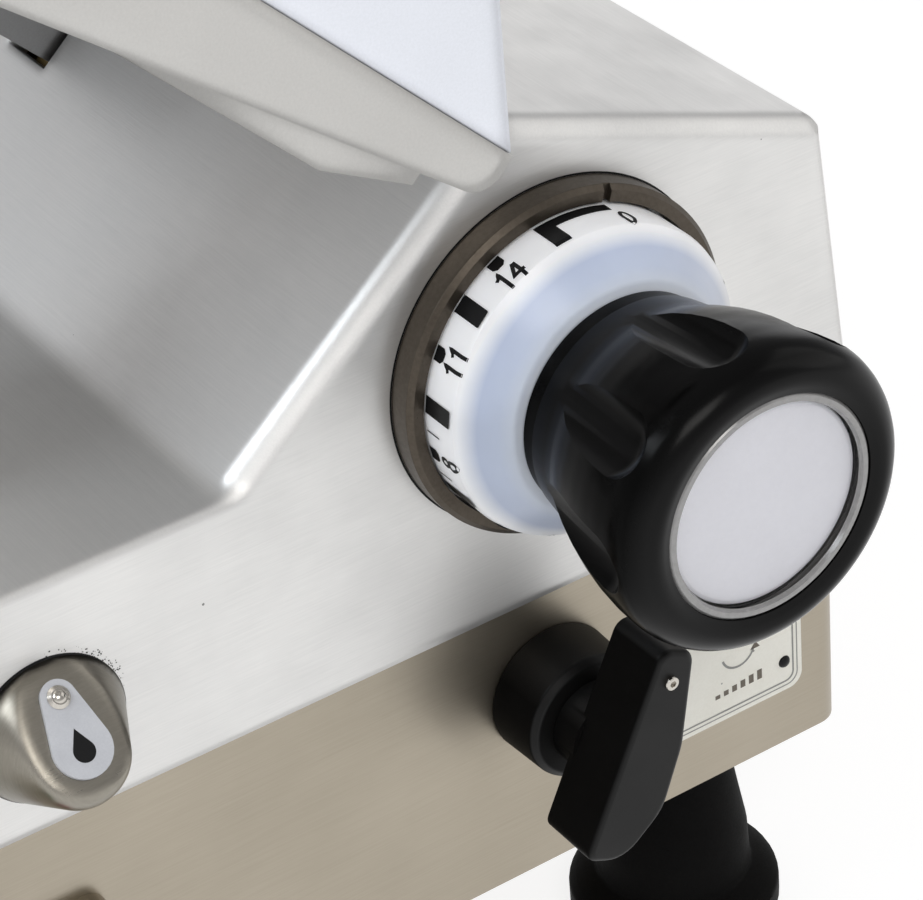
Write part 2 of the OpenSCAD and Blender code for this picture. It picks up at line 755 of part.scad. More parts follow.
// Knob: neck ring, rear band, flared body with finger flutes, round rim and a recess for the lens
module thickness_knob() color(black_plastic) facing_front(0, 0, dial_z) difference() {
    rotate_extrude() polygon(concat(
        [[knob_shaft_r + run_fit, knob_z0], [knob_neck_r, knob_z0], [knob_neck_r, knob_z0 + neck_len],
         [band_r, knob_z0 + neck_len + 0.6], [crease_r, crease_z]],
        [for (k = [1:body_steps])
            [crease_r + (knob_r - crease_r) * sin(k * 90 / body_steps) ^ 0.9,
             crease_z + (rim_z - crease_z) * k / body_steps]],
        [for (k = [1:8])
            [lens_r + 3 + (knob_r - lens_r - 3) * cos(k * 90 / 8), rim_z + rim_deep_z * sin(k * 90 / 8)]],
        [[lens_r + run_fit, knob_z1 - 1], [lens_r + run_fit, lens_seat], [knob_shaft_r + run_fit, lens_seat]]
    ));
    for (k = [0:flutes - 1]) rotate(flute_first + k * 360 / flutes)
        translate([crease_r - flute_bite + flute_r, 0, crease_z]) rotate([0, flute_lean, 0]) {
            translate([0, 0, -neck_len]) cylinder(r = flute_r, h = flute_len + neck_len);
            translate([0, 0, flute_len]) sphere(flute_r);
        }
}

// Pale disc under the lens
module knob_disc() color(pale_disc) facing_front(0, 0, dial_z)
    translate([0, 0, lens_seat]) cylinder(r = lens_r - 1.6 - run_fit, h = disc_t);

// Clear lens with a raised rim
module knob_lens() color(milky_white) facing_front(0, 0, dial_z) translate([0, 0, knob_z1 - 1 - lens_t])
    rotate_extrude() polygon([
        [0, 0], [lens_r - 1.6, 0], [lens_r - 1.6, -disc_t], [lens_r, -disc_t], [lens_r, lens_t - 0.6],
        [lens_r - 0.6, lens_t], [lens_r - 1.8, lens_t], [lens_r - 2.2, lens_t - 1], [0, lens_t - 1]
    ]);

guide_n0 = arm_n0 - 4;
guide_n1 = wall_inner_n(arm_half + 8);
guide_side = 8;

// Distance along the normal from the dial axis to the slanted wall's inner face, at w up the slope
function wall_inner_n(w) =
    ((wall_foot * cos(wall_lean) - deck_drop * sin(wall_lean)) - casting_wall
        - w * sin(wall_lean - feed_slope)) / cos(wall_lean - feed_slope);

// Guide block inside the slanted wall, round the gauge arm
module gauge_guide() color(brass_metal) on_slope() difference() {
    box([-arm_half - guide_side, arm_y0 - guide_side, guide_n0],
        [arm_half + guide_side, arm_y0 + arm_t + 1, guide_n1]);
    box([-arm_half - slide_gap, arm_y0 - slide_gap, 0],
        [arm_half + slide_gap, arm_y0 + arm_t + 2, cut_plane]);
}

// Gauge arm: bar through the slanted wall, follower pin in the scroll, bracket under the plate
module gauge_arm() color(satin_aluminium) on_slope() {
    box([-arm_half, arm_y0, arm_n0], [arm_half, arm_y0 + arm_t, arm_n1 + tiny]);
    box([-arm_half, arm_y0, arm_n1], [gauge_low + gauge_wide / 3, arm_y0 + arm_t, cut_plane - gauge_t]);
    translate([0, arm_y0 + 1, follow_r]) rotate([-90, 0, 0])
        cylinder(r = pin_r, h = arm_t - 1 + cam_y - arm_y0 - arm_t + groove_d - 1);
}

gauge_corner_r = 14;
hollow_gap = 2.5;
gauge_y1 = 226;

// Gauge plate with its edge hollowed out round the blade, and a stiffening lip at the front
module gauge_plate() color(satin_aluminium) on_slope() {
    translate([0, 0, cut_plane - gauge_t]) linear_extrude(gauge_t) difference() {
        rounded_rect([gauge_low, 0], [gauge_low + gauge_wide, gauge_y1], gauge_corner_r);
        translate([blade_up, blade_y]) circle(guard_in + hollow_gap, $fn = 128);
    }
    translate([gauge_low + gauge_corner_r, 0, cut_plane - gauge_t - 10])
        cube([gauge_wide - 2 * gauge_corner_r, 5, 11]);
}

switch_neck_r = 8;

// Round base of the mode lever
module lever_base() color(black_plastic) facing_front(-lever_left, skirt_y0, dial_z - lever_down)
    rotate_extrude() polygon([
        [lever_pin_r + run_fit, 0], [lever_base_r, 0], [lever_base_r - 0.6, lever_base_h - 1.5],
        [lever_base_r - 2.2, lever_base_h], [lever_pin_r + run_fit, lever_base_h]
    ]);

lever_pin_r = 6;
lever_hub_r = 11;
lever_hub_h = 8;
lever_front = 40;
lever_thick = 17;
lever_edge_r = 1.5;
lever_low = 24.5;
lever_high = lever_len - lever_low;
lever_flat = 0.54 * lever_w;

// Outline of the handle: flat at its left, bulging at its right, anticlockwise seen from the front
lever_outline = [
    [-lever_flat, -lever_low], [0.1 * lever_w, -lever_low], [0.48 * lever_w, -0.45 * lever_low],
    [0.41 * lever_w, 0.25 * lever_low], [0.02 * lever_w, lever_high], [-lever_flat, lever_high]
];
lever_radii = [3, 9, 14, 20, 4, 3.5];

// Rotary switch behind the skirt, turned by the lever's pin
module mode_switch() color(dark_steel) facing_front(-lever_left, skirt_y0, dial_z - lever_down)
    translate([0, 0, -sheet]) difference() {
        union() {
            cylinder(r = switch_neck_r, h = sheet);
            translate([-17, -17, -32]) cube([34, 34, 32]);
        }
        translate([0, 0, -12]) cylinder(r = lever_pin_r + run_fit, h = 40);
    }

// Ring of the handle's outline at height z, moved in by d
function handle_ring(d, z) = [for (p = rounded(lever_outline, lever_radii, d)) [p[0], p[1], z]];

// Mode lever: pin, round hub and a thick handle with a rounded front edge
module mode_lever() color(black_plastic) facing_front(-lever_left, skirt_y0, dial_z - lever_down)
    rotate(-lever_turn) {
        translate([0, 0, -sheet - 10]) cylinder(r = lever_pin_r, h = lever_front - 4);
        translate([0, 0, lever_base_h + slide_gap]) cylinder(r = lever_hub_r, h = lever_hub_h);
        loft(concat(
            [for (k = [0:edge_steps])
                let (turn = k * 90 / edge_steps)
                handle_ring(lever_edge_r * (1 - sin(turn)), lever_front - lever_edge_r * (1 - cos(turn)))],
            [handle_ring(0, lever_front - lever_thick)]
        ));
    }

legend_x0 = 24;
legend_x1 = 68;
legend_down = 77;
legend_h = 50;
legend_z1 = dial_z - legend_down;
legend_z0 = legend_z1 - legend_h;
legend_t = 0.8;

// Legend plate beside the lever
module legend_plate() color(cream) along_depth(skirt_y0 - legend_t, skirt_y0)
    rounded_rect([legend_x0, legend_z0], [legend_x1, legend_z1], 4);

panel_half_w = 42;
panel_half_h = 17;
panel_t = 3;
button_split = 18;
button_in = 12;
button_z = panel_t + button_out;
button_xs = [panel_x - button_split, panel_x + button_split];

// Panel that holds the two buttons
module switch_panel() color(black_plastic) difference() {
    along_depth(skirt_y0 - panel_t, skirt_y0)
        rounded_rect([panel_x - panel_half_w, panel_z - panel_half_h],
                     [panel_x + panel_half_w, panel_z + panel_half_h], 5);
    for (x = button_xs) facing_front(x, skirt_y0 + 1, panel_z)
        cylinder(r = button_r + run_fit, h = panel_t + 2);
}

// Push button that dishes in at its face
module button(x) facing_front(x, skirt_y0, panel_z) rotate_extrude() polygon([
    [0, -button_in], [button_r - 1, -button_in], [button_r, 2 - button_in], [button_r, button_z - 1],
    [button_r - 1, button_z], [button_r * 0.6, button_z - 0.8], [0, button_z - 1.2]
]);

module start_button() color(green_plastic) button(button_xs[0]);

module stop_button() color(red_plastic) button(button_xs[1]);

// Section of the motor housing, anticlockwise seen from the front
housing_section = [
    [-housing_left, deck_z],
    [housing_right, deck_z],
    [housing_right, slope_z(housing_up, 0) - (housing_right - slope_x(housing_up, 0)) * tan(90 - feed_slope)],
    [slope_x(housing_up, neck_n1), slope_z(housing_up, neck_n1)],
    [-housing_left, slope_z(0, neck_n1) + (slope_x(0, neck_n1) + housing_left) * -tan(feed_slope)]
];
housing_radii = [0, 0, 20, 14, 14];

// Neck outline up the slope, grown by d: round the hub and back into the housing
module neck_outline(d) hull() {
    translate([blade_up, blade_y]) circle(neck_r + d, $fn = 48);
    translate([(blade_up + motor_up) / 2 - 6, housing_y0 + 38]) circle(neck_r - 6 + d, $fn = 48);
}

// Outline round both pulleys, grown by d
module belt_outline(d) hull() {
    translate([blade_up, blade_y]) circle(hub_pulley_r + d, $fn = 48);
    translate([motor_up, motor_y]) circle(motor_pulley_r + d, $fn = 48);
}

// Motor housing on the rear deck, with the neck that carries the blade's hub
module motor_housing() color(satin_aluminium) difference() {
    union() {
        along_depth(housing_y0, rear_cover_y) polygon(rounded(housing_section, housing_radii));
        on_slope() translate([0, 0, neck_n0]) linear_extrude(neck_n1 - neck_n0) neck_outline(0);
    }
    intersection() {
        along_depth(housing_y0 + housing_wall, rear_cover_y + 1)
            polygon(rounded(inset(housing_section, housing_wall), housing_radii));
        on_slope() box([-far, -far, -far], [far, far, motor_n1]);
    }
    on_slope() translate([0, 0, belt_room_n0]) linear_extrude(bearing_deep - belt_room_n0)
        belt_outline(belt_t + belt_room);
    on_slope() translate([motor_up, motor_y, motor_n1 - 1])
        cylinder(r = motor_shaft_r + pass_gap, h = motor_plate_t + 2);
    at_blade_axis(bearing_deep - 1) cylinder(r = bearing_r + run_fit, h = far);
    on_slope() translate([post_low, blade_y, post_n]) rotate([0, 90, 0])
        cylinder(r = post_r + run_fit, h = far);
}

post_low = blade_up + bearing_r + 6;
motor_shaft_r = 6;

vent_count = 7;
vent_step = 9;
vent_h = 4;
vent_x0 = -30;
vent_w = 85;
vent_z0 = deck_z + 30;

// Rear cover with cooling slots
module rear_cover() color(black_plastic) difference() {
    along_depth(rear_cover_y, rear_cover_y + rear_cover_t) polygon(rounded(housing_section, housing_radii));
    for (k = [0:vent_count - 1]) translate([vent_x0, rear_cover_y - 1, vent_z0 + k * vent_step])
        cube([vent_w, rear_cover_t + 2, vent_h]);
}

// Blade motor, bolted under the housing's inner plate
module blade_motor() color(dark_steel) on_slope() translate([motor_up, motor_y, motor_n1]) difference() {
    union() {
        translate([0, 0, -motor_len]) cylinder(r = motor_r, h = motor_len);
        translate([0, 0, -motor_len + 12]) cylinder(r = motor_r + 1.5, h = motor_len - 24);
    }
    translate([0, 0, -motor_len / 2]) cylinder(r = motor_shaft_r + run_fit, h = motor_len);
}

// Flanged pulley with its crown under the belt
module flanged_pulley(r, wide) {
    cylinder(r = r, h = wide);
    cylinder(r = r + belt_t, h = 0.8);
    translate([0, 0, wide - 0.8]) cylinder(r = r + belt_t, h = 0.8);
}

module motor_pulley() color(polished_steel) on_slope() translate([motor_up, motor_y, pulley_n0]) {
    flanged_pulley(motor_pulley_r, pulley_n1 - pulley_n0);
    translate([0, 0, motor_n1 - pulley_n0 - motor_len / 2 + 1])
        cylinder(r = motor_shaft_r, h = pulley_n0 - motor_n1 + motor_len / 2);
}

// Flat belt round the motor pulley and the hub pulley
module blade_belt() color(black_plastic) on_slope() translate([0, 0, pulley_n0 + 1.2])
    linear_extrude(belt_wide - 0.4) difference() {
        belt_outline(belt_t - 0.3);
        belt_outline(0.3);
    }

module hub_pulley() color(polished_steel) at_blade_axis(pulley_n0) difference() {
    flanged_pulley(hub_pulley_r, pulley_n1 - pulley_n0);
    translate([0, 0, -1]) cylinder(r = hub_r + run_fit, h = far);
}

// Hub shaft with the flange that carries the blade
module hub_shaft() color(polished_steel) at_blade_axis(0) {
    translate([0, 0, pulley_n0]) cylinder(r = hub_r, h = hub_n - pulley_n0 + 3);
    translate([0, 0, neck_n1 + 1]) cylinder(r = bearing_r, h = hub_n - neck_n1 - 1);
}

// Two bearings in the neck, with a spacer ring's gap between them
module hub_bearings() color(dark_steel)
    for (n = [bearing_deep, neck_n1 - bearing_t]) at_blade_axis(n) difference() {
        cylinder(r = bearing_r, h = bearing_t);
        translate([0, 0, -1]) cylinder(r = hub_r + run_fit, h = bearing_t + 2);
    }

blade_t = 3.5;
dish_in = blade_r * 0.62;
dish_out = blade_r * 0.78;

// Blade: dished disc with a ground edge at the cutting plane
module blade() color(polished_steel) at_blade_axis(hub_n) rotate_extrude($fn = 180) polygon([
    [hub_r + run_fit, 0], [dish_in, 0], [dish_out, dish - 4], [blade_r - 9, dish - 2],
    [blade_r, dish + blade_t - 0.4], [blade_r, dish + blade_t], [dish_out, dish], [dish_in, blade_t],
    [hub_r + run_fit, blade_t]
]);

// Ring guard round the blade's back half, on bosses that stand on the housing
module ring_guard() color(satin_aluminium) at_blade_axis(0) difference() {
    union() {
        rotate([0, 0, guard_from]) translate([0, 0, guard_n0]) rotate_extrude(angle = guard_sweep, $fn = 180)
            polygon([[guard_in, 0], [guard_out, 0], [guard_out, guard_n1 - guard_n0 - 2],
                     [guard_out - 2, guard_n1 - guard_n0], [guard_in, guard_n1 - guard_n0]]);
        for (a = boss_turns) rotate(a) translate([(guard_in + guard_out) / 2, 0, neck_n1])
            cylinder(r = guard_w / 2 - 0.2, h = guard_n0 - neck_n1 + 1);
        rotate(ear_turn) translate([ear_r - 9, 0, guard_n0]) linear_extrude(guard_n1 - guard_n0) {
            translate([-guard_w / 2, -ear_half]) square([9 + guard_w / 2, 2 * ear_half]);
            translate([9, 0]) circle(ear_half);
        }
    }
    rotate(ear_turn) translate([ear_r, 0, guard_n0 - 1]) cylinder(r = stud_r + run_fit, h = far);
}

guard_from = 16;
guard_sweep = 152;
boss_turns = [112, 150];
cover_r = dish_in + 12;
ear_root = cover_r - 26;
ear_step = 14;
ear_t = 3;

// Blade cover: disc in the blade's dish, held at an ear beyond the blade's edge
module blade_cover() color(satin_aluminium) at_blade_axis(hub_n) difference() {
    union() {
        rotate_extrude($fn = 128) polygon([
            [0, blade_t + 1], [dish_in - 1, blade_t + 1], [cover_r - 1, dish - 0.4], [cover_r, dish + 1.4],
            [cover_r - 2, dish + 2.4], [0, dish + 3]
        ]);
        rotate(ear_turn) translate([0, 0, guard_n1 - hub_n]) linear_extrude(ear_t) {
            translate([ear_root, -ear_half]) square([ear_r - ear_root, 2 * ear_half]);
            translate([ear_r, 0]) circle(ear_half);
        }
        rotate(ear_turn) translate([ear_root, -ear_half, dish])
            cube([ear_step, 2 * ear_half, guard_n1 - hub_n - dish + 1]);
    }
    rotate(ear_turn) translate([ear_r, 0, 0]) cylinder(r = stud_r + run_fit, h = far);
}

cover_knob_r = 11;
cover_knob_h = 15;
cover_knob_foot = 4;
cover_lobes = 6;
stud_len = guard_n1 - guard_n0 + ear_t;

// Screw knob that clamps the blade cover's ear to the guard
module cover_knob() color(black_plastic) at_blade_axis(guard_n1 + ear_t + slide_gap / 4)
    rotate(ear_turn) translate([ear_r, 0, 0]) difference() {
        union() {
            cylinder(r = cover_knob_r - 2, h = cover_knob_foot);
            translate([0, 0, cover_knob_foot - 1])
                cylinder(r = cover_knob_r, h = cover_knob_h - cover_knob_foot + 1);
            translate([0, 0, -stud_len]) cylinder(r = stud_r, h = stud_len + 1);
        }
        for (k = [0:cover_lobes - 1]) rotate(k * 360 / cover_lobes)
            translate([cover_knob_r + 3, 0, cover_knob_foot]) cylinder(r = 5, h = far);
    }

deflector_r = 42;
deflector_t = 2;
deflector_w = 90;
deflector_y = blade_y - neck_r - deflector_r - slide_gap;

// Slice deflector: curved sheet on the neck's front, behind the blade
module slice_deflector() color(satin_aluminium) on_slope()
    translate([blade_up - deflector_w / 2, deflector_y, neck_n1 - deflector_r - deflector_t])
        rotate([0, 90, 0]) rotate([0, 0, 90]) rotate_extrude(angle = 80)
            translate([deflector_r - deflector_t, 0]) square([deflector_t, deflector_w]);

// Post behind the blade that carries the sharpener
module sharpener_post() color(polished_steel) on_slope()
    translate([post_low, blade_y, post_n]) rotate([0, 90, 0]) cylinder(r = post_r, h = post_top - post_low);

sharpener_half = 34;
sharpener_n0 = post_n - post_r - 8;
sharpener_n1 = cut_plane + 24;
sharpener_round = 9;
arm_back_n = hub_n - 14;
arm_front_n = cut_plane + 14;
arm_low = stone_up - 10;
arm_wide = 9;
arm_deep = 10;
spindle_r = 4;
spindle_len = arm_deep + 1;
collar_len = 14;

// Sharpener body: bridge over the blade's edge with an arm on either side, sliding on the post
module sharpener_body() color(black_plastic) on_slope() difference() {
    union() {
        translate([sharpener_low, 0, 0]) rotate([0, 90, 0]) rotate([0, 0, 90])
            linear_extrude(sharpener_high - sharpener_low)
                rounded_rect([blade_y - sharpener_half, sharpener_n0],
                             [blade_y + sharpener_half, sharpener_n1], sharpener_round);
        box([arm_low, blade_y - stone_split - arm_wide, arm_back_n - arm_deep],
            [sharpener_low + 1, blade_y - stone_split + arm_wide, arm_back_n]);
        box([arm_low, blade_y + stone_split - arm_wide, arm_front_n],
            [sharpener_low + 1, blade_y + stone_split + arm_wide, arm_front_n + arm_deep]);
        translate([sharpener_low - collar_len, blade_y, post_n]) rotate([0, 90, 0])
            cylinder(r = post_r + 5, h = collar_len + 1);
    }
    translate([0, blade_y, post_n]) rotate([0, 90, 0]) cylinder(r = post_r + run_fit, h = far);
    for (y = [blade_y - stone_split, blade_y + stone_split]) translate([stone_up, y, 0])
        cylinder(r = spindle_r + run_fit, h = far);
}

// Grinding stone behind the blade, on its spindle
module grinding_stone() color(stone_grey) on_slope()
    translate([stone_up, blade_y - stone_split, arm_back_n]) {
        translate([0, 0, slide_gap]) cylinder(r1 = stone_r - 2, r2 = stone_r, h = stone_t);
        translate([0, 0, 1 - arm_deep]) cylinder(r = spindle_r, h = spindle_len);
    }

// Truing stone in front of the blade, on its spindle
module truing_stone() color(stone_grey) on_slope()
    translate([stone_up, blade_y + stone_split, arm_front_n]) {
        translate([0, 0, -slide_gap - stone_t]) cylinder(r1 = stone_r, r2 = stone_r - 2, h = stone_t);
        translate([0, 0, -2]) cylinder(r = spindle_r, h = spindle_len);
    }

// Outline of the tray's rim seen from the front: w up the slope, n along the feed
rim_outline = [
    [tray_up, tray_n0], [tray_up, tray_n1],
    [rim_end_low, tray_n1], [tray_under - rim_deep, tray_n0]
];

// Flat outline in w and n, drawn out from depth y0 to y1
module across_slope(y0, y1) on_slope()
    translate([0, y1, 0]) rotate([90, 0, 0]) linear_extrude(y1 - y0) children();

// Tray: sloping plate with a deep rim at the front and at the back, a rib behind the front rim
// and a stop at its top end
module carriage_tray() color(satin_aluminium) {
    on_slope() box([tray_under, tray_y0, tray_n0], [tray_up, tray_y1, tray_n1]);
    for (y = [tray_y0, tray_y1 - fence_t]) across_slope(y, y + fence_t)
        polygon(rounded(rim_outline, [0, 0, 0, rim_round]));
    across_slope(tray_y0 + fence_t - 1, tray_y0 + fence_t + rib_t) polygon([
        [tray_under + 1, rib_n0], [tray_under + 1, rib_n1], [rib_low, rib_n1 - rib_t],
        [rib_low, rib_n0 + rib_foot], [rib_low + rib_foot * 0.3, rib_n0]
    ]);
    on_slope() box([rim_end_low, tray_y0, tray_n1 - fence_t], [tray_up + stop_h, tray_y1, tray_n1]);
}

// Front fence: upright plate with its edge beside the gauge plate cut upright
module front_fence() color(satin_aluminium) across_slope(tray_y0, tray_y0 + fence_t) polygon([
    [tray_up, tray_n0], [tray_up, tray_n1 - fence_t], [tray_up + fence_h, tray_n1 - fence_t],
    [tray_up + fence_h, tray_n0 + fence_h]
]);

// Column from the slide block up to the tray's underside
module carriage_column() color(satin_aluminium) difference() {
    box([bar_x - column_t / 2, column_y - column_wide / 2, bar_z + block_half],
        [bar_x + column_t / 2, column_y + column_wide / 2, dial_z + far]);
    on_slope() box([tray_under, -far, -far], [far * 2, far, far * 2]);
}

roller_arm_x = rail_x + roller_w / 2 + 0.5;
roller_pin_x = rail_x - roller_w / 2 - 2;
roller_cap_t = 3.4;
clamp_half = 18;
clamp_t = 10;

// Slide block round the bar, with the arm of the roller and the clamp over the drive belt
module slide_block() color(satin_aluminium) difference() {
    union() {
        box([bar_x - block_half, column_y - block_len / 2, bar_z - block_half],
            [bar_x + block_half, column_y + block_len / 2, bar_z + block_half]);
        facing_right(roller_pin_x, column_y, bar_z)
            cylinder(r = roller_pin_r, h = bar_x - block_half - roller_pin_x + 1);
        facing_right(roller_pin_x - 2, column_y, bar_z) cylinder(r = roller_pin_r + 2, h = roller_cap_t);
        facing_right(roller_arm_x, column_y, bar_z)
            cylinder(r = roller_pin_r + 3, h = bar_x - block_half - roller_arm_x + 1);
        box([bar_x, column_y - clamp_half, bar_z - block_half],
            [drive_x + drive_w / 2, column_y + clamp_half, bar_z - block_half + clamp_t]);
        box([drive_x - drive_w / 2, column_y - clamp_half, drive_z + pulley_r + belt_t + slide_gap],
            [drive_x + drive_w / 2, column_y + clamp_half, bar_z - block_half + 1]);
    }
    facing_front(bar_x, column_y + block_len, bar_z) cylinder(r = bar_r + 1, h = 2 * block_len);
    for (y = [column_y - block_len / 2 + bush_len, column_y + block_len / 2 + 1])
        facing_front(bar_x, y, bar_z) cylinder(r = bar_r + bush_wall + run_fit, h = bush_len + 1);
}

// Two plain bushes in the slide block
module slide_bushes() color(brass_metal)
    for (y = [column_y - block_len / 2 + bush_len, column_y + block_len / 2])
        facing_front(bar_x, y, bar_z) difference() {
            cylinder(r = bar_r + bush_wall, h = bush_len);
            translate([0, 0, -1]) cylinder(r = bar_r + run_fit, h = bush_len + 2);
        }

// Roller that runs on the guide rail
module guide_roller() color(black_plastic) facing_right(rail_x - roller_w / 2, column_y, bar_z) difference() {
    cylinder(r = roller_r, h = roller_w);
    translate([0, 0, -1]) cylinder(r = roller_pin_r + run_fit, h = roller_w + 2);
}

handle_y = tray_y0 + 40;
handle_len = 108;
handle_half = 14;
grip_r = 15;
grip_neck_r = 8;

// Handle at the tray's upper end: bracket and turned grip
module carriage_handle() color(black_plastic) on_slope()
    translate([tray_up - handle_drop, handle_y, tray_n1]) {
        translate([0, -handle_half, 0]) cube([handle_drop, 2 * handle_half, handle_out]);
        translate([handle_drop - 1, 0, handle_out / 2]) rotate([0, 90, 0]) rotate_extrude() polygon([
            [0, 0], [grip_neck_r, 0], [grip_neck_r, 8], [grip_neck_r + 3, 14], [grip_r - 1, handle_len * 0.4],
            [grip_r, handle_len * 0.7], [grip_r - 2, handle_len - 7], [grip_neck_r, handle_len - 1],
            [0, handle_len]
        ]);
    }

rod_n1 = tray_n1 - fence_t - slide_gap;

// Pusher rod with the lugs that stand it off the tray
module pusher_rod() color(polished_steel) on_slope() {
    translate([rod_up, rod_y, rod_n0]) cylinder(r = rod_r, h = rod_n1 - rod_n0);
    for (n = [rod_n0, rod_n1 - lug_t]) translate([0, 0, n]) linear_extrude(lug_t) {
        translate([tray_up, rod_y - lug_half]) square([rod_up - tray_up, 2 * lug_half]);
        translate([rod_up, rod_y]) circle(rod_r + 4);
    }
}

collar_t = 8;

// Sleeve that slides on the rod, with a collar at each end
module pusher_sleeve() color(black_plastic) on_slope() translate([rod_up, rod_y, sleeve_n0]) difference() {
    union() {
        cylinder(r = sleeve_r, h = sleeve_len);
        cylinder(r = arm_ring_r, h = collar_t);
        translate([0, 0, sleeve_len - collar_t]) cylinder(r = arm_ring_r, h = collar_t);
    }
    translate([0, 0, -1]) cylinder(r = rod_r + run_fit, h = sleeve_len + 2);
}

arm_ring_n0 = sleeve_n0 + collar_t + slide_gap;
arm_ring_w = sleeve_len - 2 * collar_t - 2 * slide_gap;
arm_ring_n1 = arm_ring_n0 + arm_ring_w;
pusher_half = 9;
pusher_deep = 14;
plate_t = 6;
plate_low = tray_up + 10;
plate_over = 14;
plate_y = rod_y - pusher_reach;
plate_ahead = 50;
plate_behind = 56;
plate_n0 = arm_ring_n1 - pusher_deep - plate_t;
plate_round = 12;
spike_h = 5;
spike_rows = 4;
spike_row_step = 18;
spikes = 7;
spike_step = 13;

// Pusher arm: ring on the sleeve, arm across the tray and a spiked plate that faces the blade
module pusher_arm() color(black_plastic) on_slope() {
    difference() {
        union() {
            translate([rod_up, rod_y, arm_ring_n0]) cylinder(r = arm_ring_r, h = arm_ring_w);
            box([rod_up - pusher_half, plate_y, arm_ring_n1 - pusher_deep],
                [rod_up + pusher_half, rod_y, arm_ring_n1]);
        }
        translate([rod_up, rod_y, 0]) cylinder(r = sleeve_r + run_fit, h = far);
    }
    translate([0, 0, plate_n0]) linear_extrude(plate_t + tiny)
        rounded_rect([plate_low, plate_y - plate_ahead], [rod_up + plate_over, plate_y + plate_behind],
                     plate_round);
    translate([plate_low + plate_round + 2, plate_y - plate_ahead + plate_round, plate_n0 - spike_h])
        for (i = [0:spike_rows - 1], j = [0:spikes - 1])
            translate([i * spike_row_step, j * spike_step, 0])
                cylinder(r1 = 0.6, r2 = 2.4, h = spike_h + tiny);
}

// Gearmotor of the carriage drive on its foot
module drive_motor() color(dark_steel) difference() {
    union() {
        facing_right(drive_x + drive_w, drive_y1, drive_z) cylinder(r = gearmotor_r, h = gearmotor_len);
        box([drive_x + drive_w, drive_y1 - gearmotor_r, plate_top],
            [drive_x + drive_w + gearmotor_len * 0.45, drive_y1 + gearmotor_r, drive_z]);
    }
    facing_right(drive_x, drive_y1, drive_z) cylinder(r = drive_shaft_r + run_fit, h = drive_w + 24);
}

gearmotor_r = 28;
gearmotor_len = 70;
drive_shaft_r = 6;

// Drive pulley with the shaft that enters the gearmotor
module drive_pulley() color(polished_steel) facing_right(drive_x - drive_w / 2, drive_y1, drive_z) {
    flanged_pulley(pulley_r, drive_w);
    cylinder(r = drive_shaft_r, h = drive_w / 2 + drive_w + 22);
}

// Idler pulley at the front, with its axle in a fork
module idler_pulley() color(polished_steel) facing_right(drive_x - drive_w / 2, drive_y0, drive_z) {
    flanged_pulley(pulley_r, drive_w);
    translate([0, 0, -8]) cylinder(r = drive_shaft_r, h = drive_w + 16);
}

// Belt round the drive pulley and the idler
module drive_belt() color(black_plastic) facing_right(drive_x - drive_w / 2 + 1.2, 0, 0)
    linear_extrude(drive_w - 2.4) difference() {
        drive_outline(belt_t - 0.3);
        drive_outline(0.3);
    }

module drive_outline(d) hull() for (y = [drive_y0, drive_y1])
    translate([-drive_z, y]) circle(pulley_r + d, $fn = 48);

placed() body_casting();
placed() base_skirt();
placed() bottom_plate();
placed() feet();
placed() foot_bolts();
placed() cable_gland();
placed() slide_bar();
placed() guide_rail();
placed() oil_cap();
placed() oil_rivet();
placed() oil_tag();
placed() dial_bezel();
placed() shaft_bush();
placed() knob_shaft();
placed() scroll_cam();
placed() dial_ring();
placed() thickness_knob();
placed() knob_disc();
placed() knob_lens();
placed() gauge_guide();
placed() gauge_arm();
placed() gauge_plate();
placed() lever_base();
placed() mode_switch();
placed() mode_lever();
placed() legend_plate();
placed() switch_panel();
placed() start_button();
placed() stop_button();
placed() motor_housing();
placed() rear_cover();
placed() blade_motor();
placed() motor_pulley();
placed() blade_belt();
placed() hub_pulley();
placed() hub_shaft();
placed() hub_bearings();
placed() blade();
placed() ring_guard();
placed() blade_cover();
placed() cover_knob();
placed() slice_deflector();
placed() sharpener_post();
placed() sharpener_body();
placed() carriage_tray();
placed() front_fence();
placed() carriage_column();
placed() slide_block();
placed() slide_bushes();
placed() guide_roller();
placed() carriage_handle();
placed() pusher_rod();
placed() pusher_sleeve();
placed() pusher_arm();
placed() grinding_stone();
placed() truing_stone();
placed() drive_motor();
placed() drive_pulley();
placed() idler_pulley();
placed() drive_belt();
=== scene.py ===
import math
import random
import bpy
from mathutils import Matrix, Vector


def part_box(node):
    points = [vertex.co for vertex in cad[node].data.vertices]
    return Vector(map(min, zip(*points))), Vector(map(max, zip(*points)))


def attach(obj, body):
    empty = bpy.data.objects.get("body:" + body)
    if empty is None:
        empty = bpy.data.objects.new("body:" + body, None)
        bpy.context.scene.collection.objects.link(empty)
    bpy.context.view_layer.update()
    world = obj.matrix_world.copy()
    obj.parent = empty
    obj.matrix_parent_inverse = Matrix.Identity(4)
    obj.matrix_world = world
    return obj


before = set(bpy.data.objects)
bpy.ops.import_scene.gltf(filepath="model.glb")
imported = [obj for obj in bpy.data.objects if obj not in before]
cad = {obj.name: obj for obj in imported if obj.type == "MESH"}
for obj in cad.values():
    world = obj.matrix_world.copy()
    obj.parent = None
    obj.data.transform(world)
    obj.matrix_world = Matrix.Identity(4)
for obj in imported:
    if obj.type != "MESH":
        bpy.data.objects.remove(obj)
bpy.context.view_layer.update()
mm = 0.001
print("frame loaded:", len(cad), "nodes")

# the dial's axis on the casting's front is the zero of the measures below
bezelLow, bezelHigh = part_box("dial_bezel")
dialAxis = Vector(((bezelLow.x + bezelHigh.x) / 2, bezelHigh.y, (bezelLow.z + bezelHigh.z) / 2))


def at(x, y, z):
    return dialAxis + Vector((x, y, z)) * mm  # millimetres right, back and up from the dial


def addObject(name, data):
    made = bpy.data.objects.new(name, data)
    bpy.context.scene.collection.objects.link(made)
    return made


# camera, light and floor

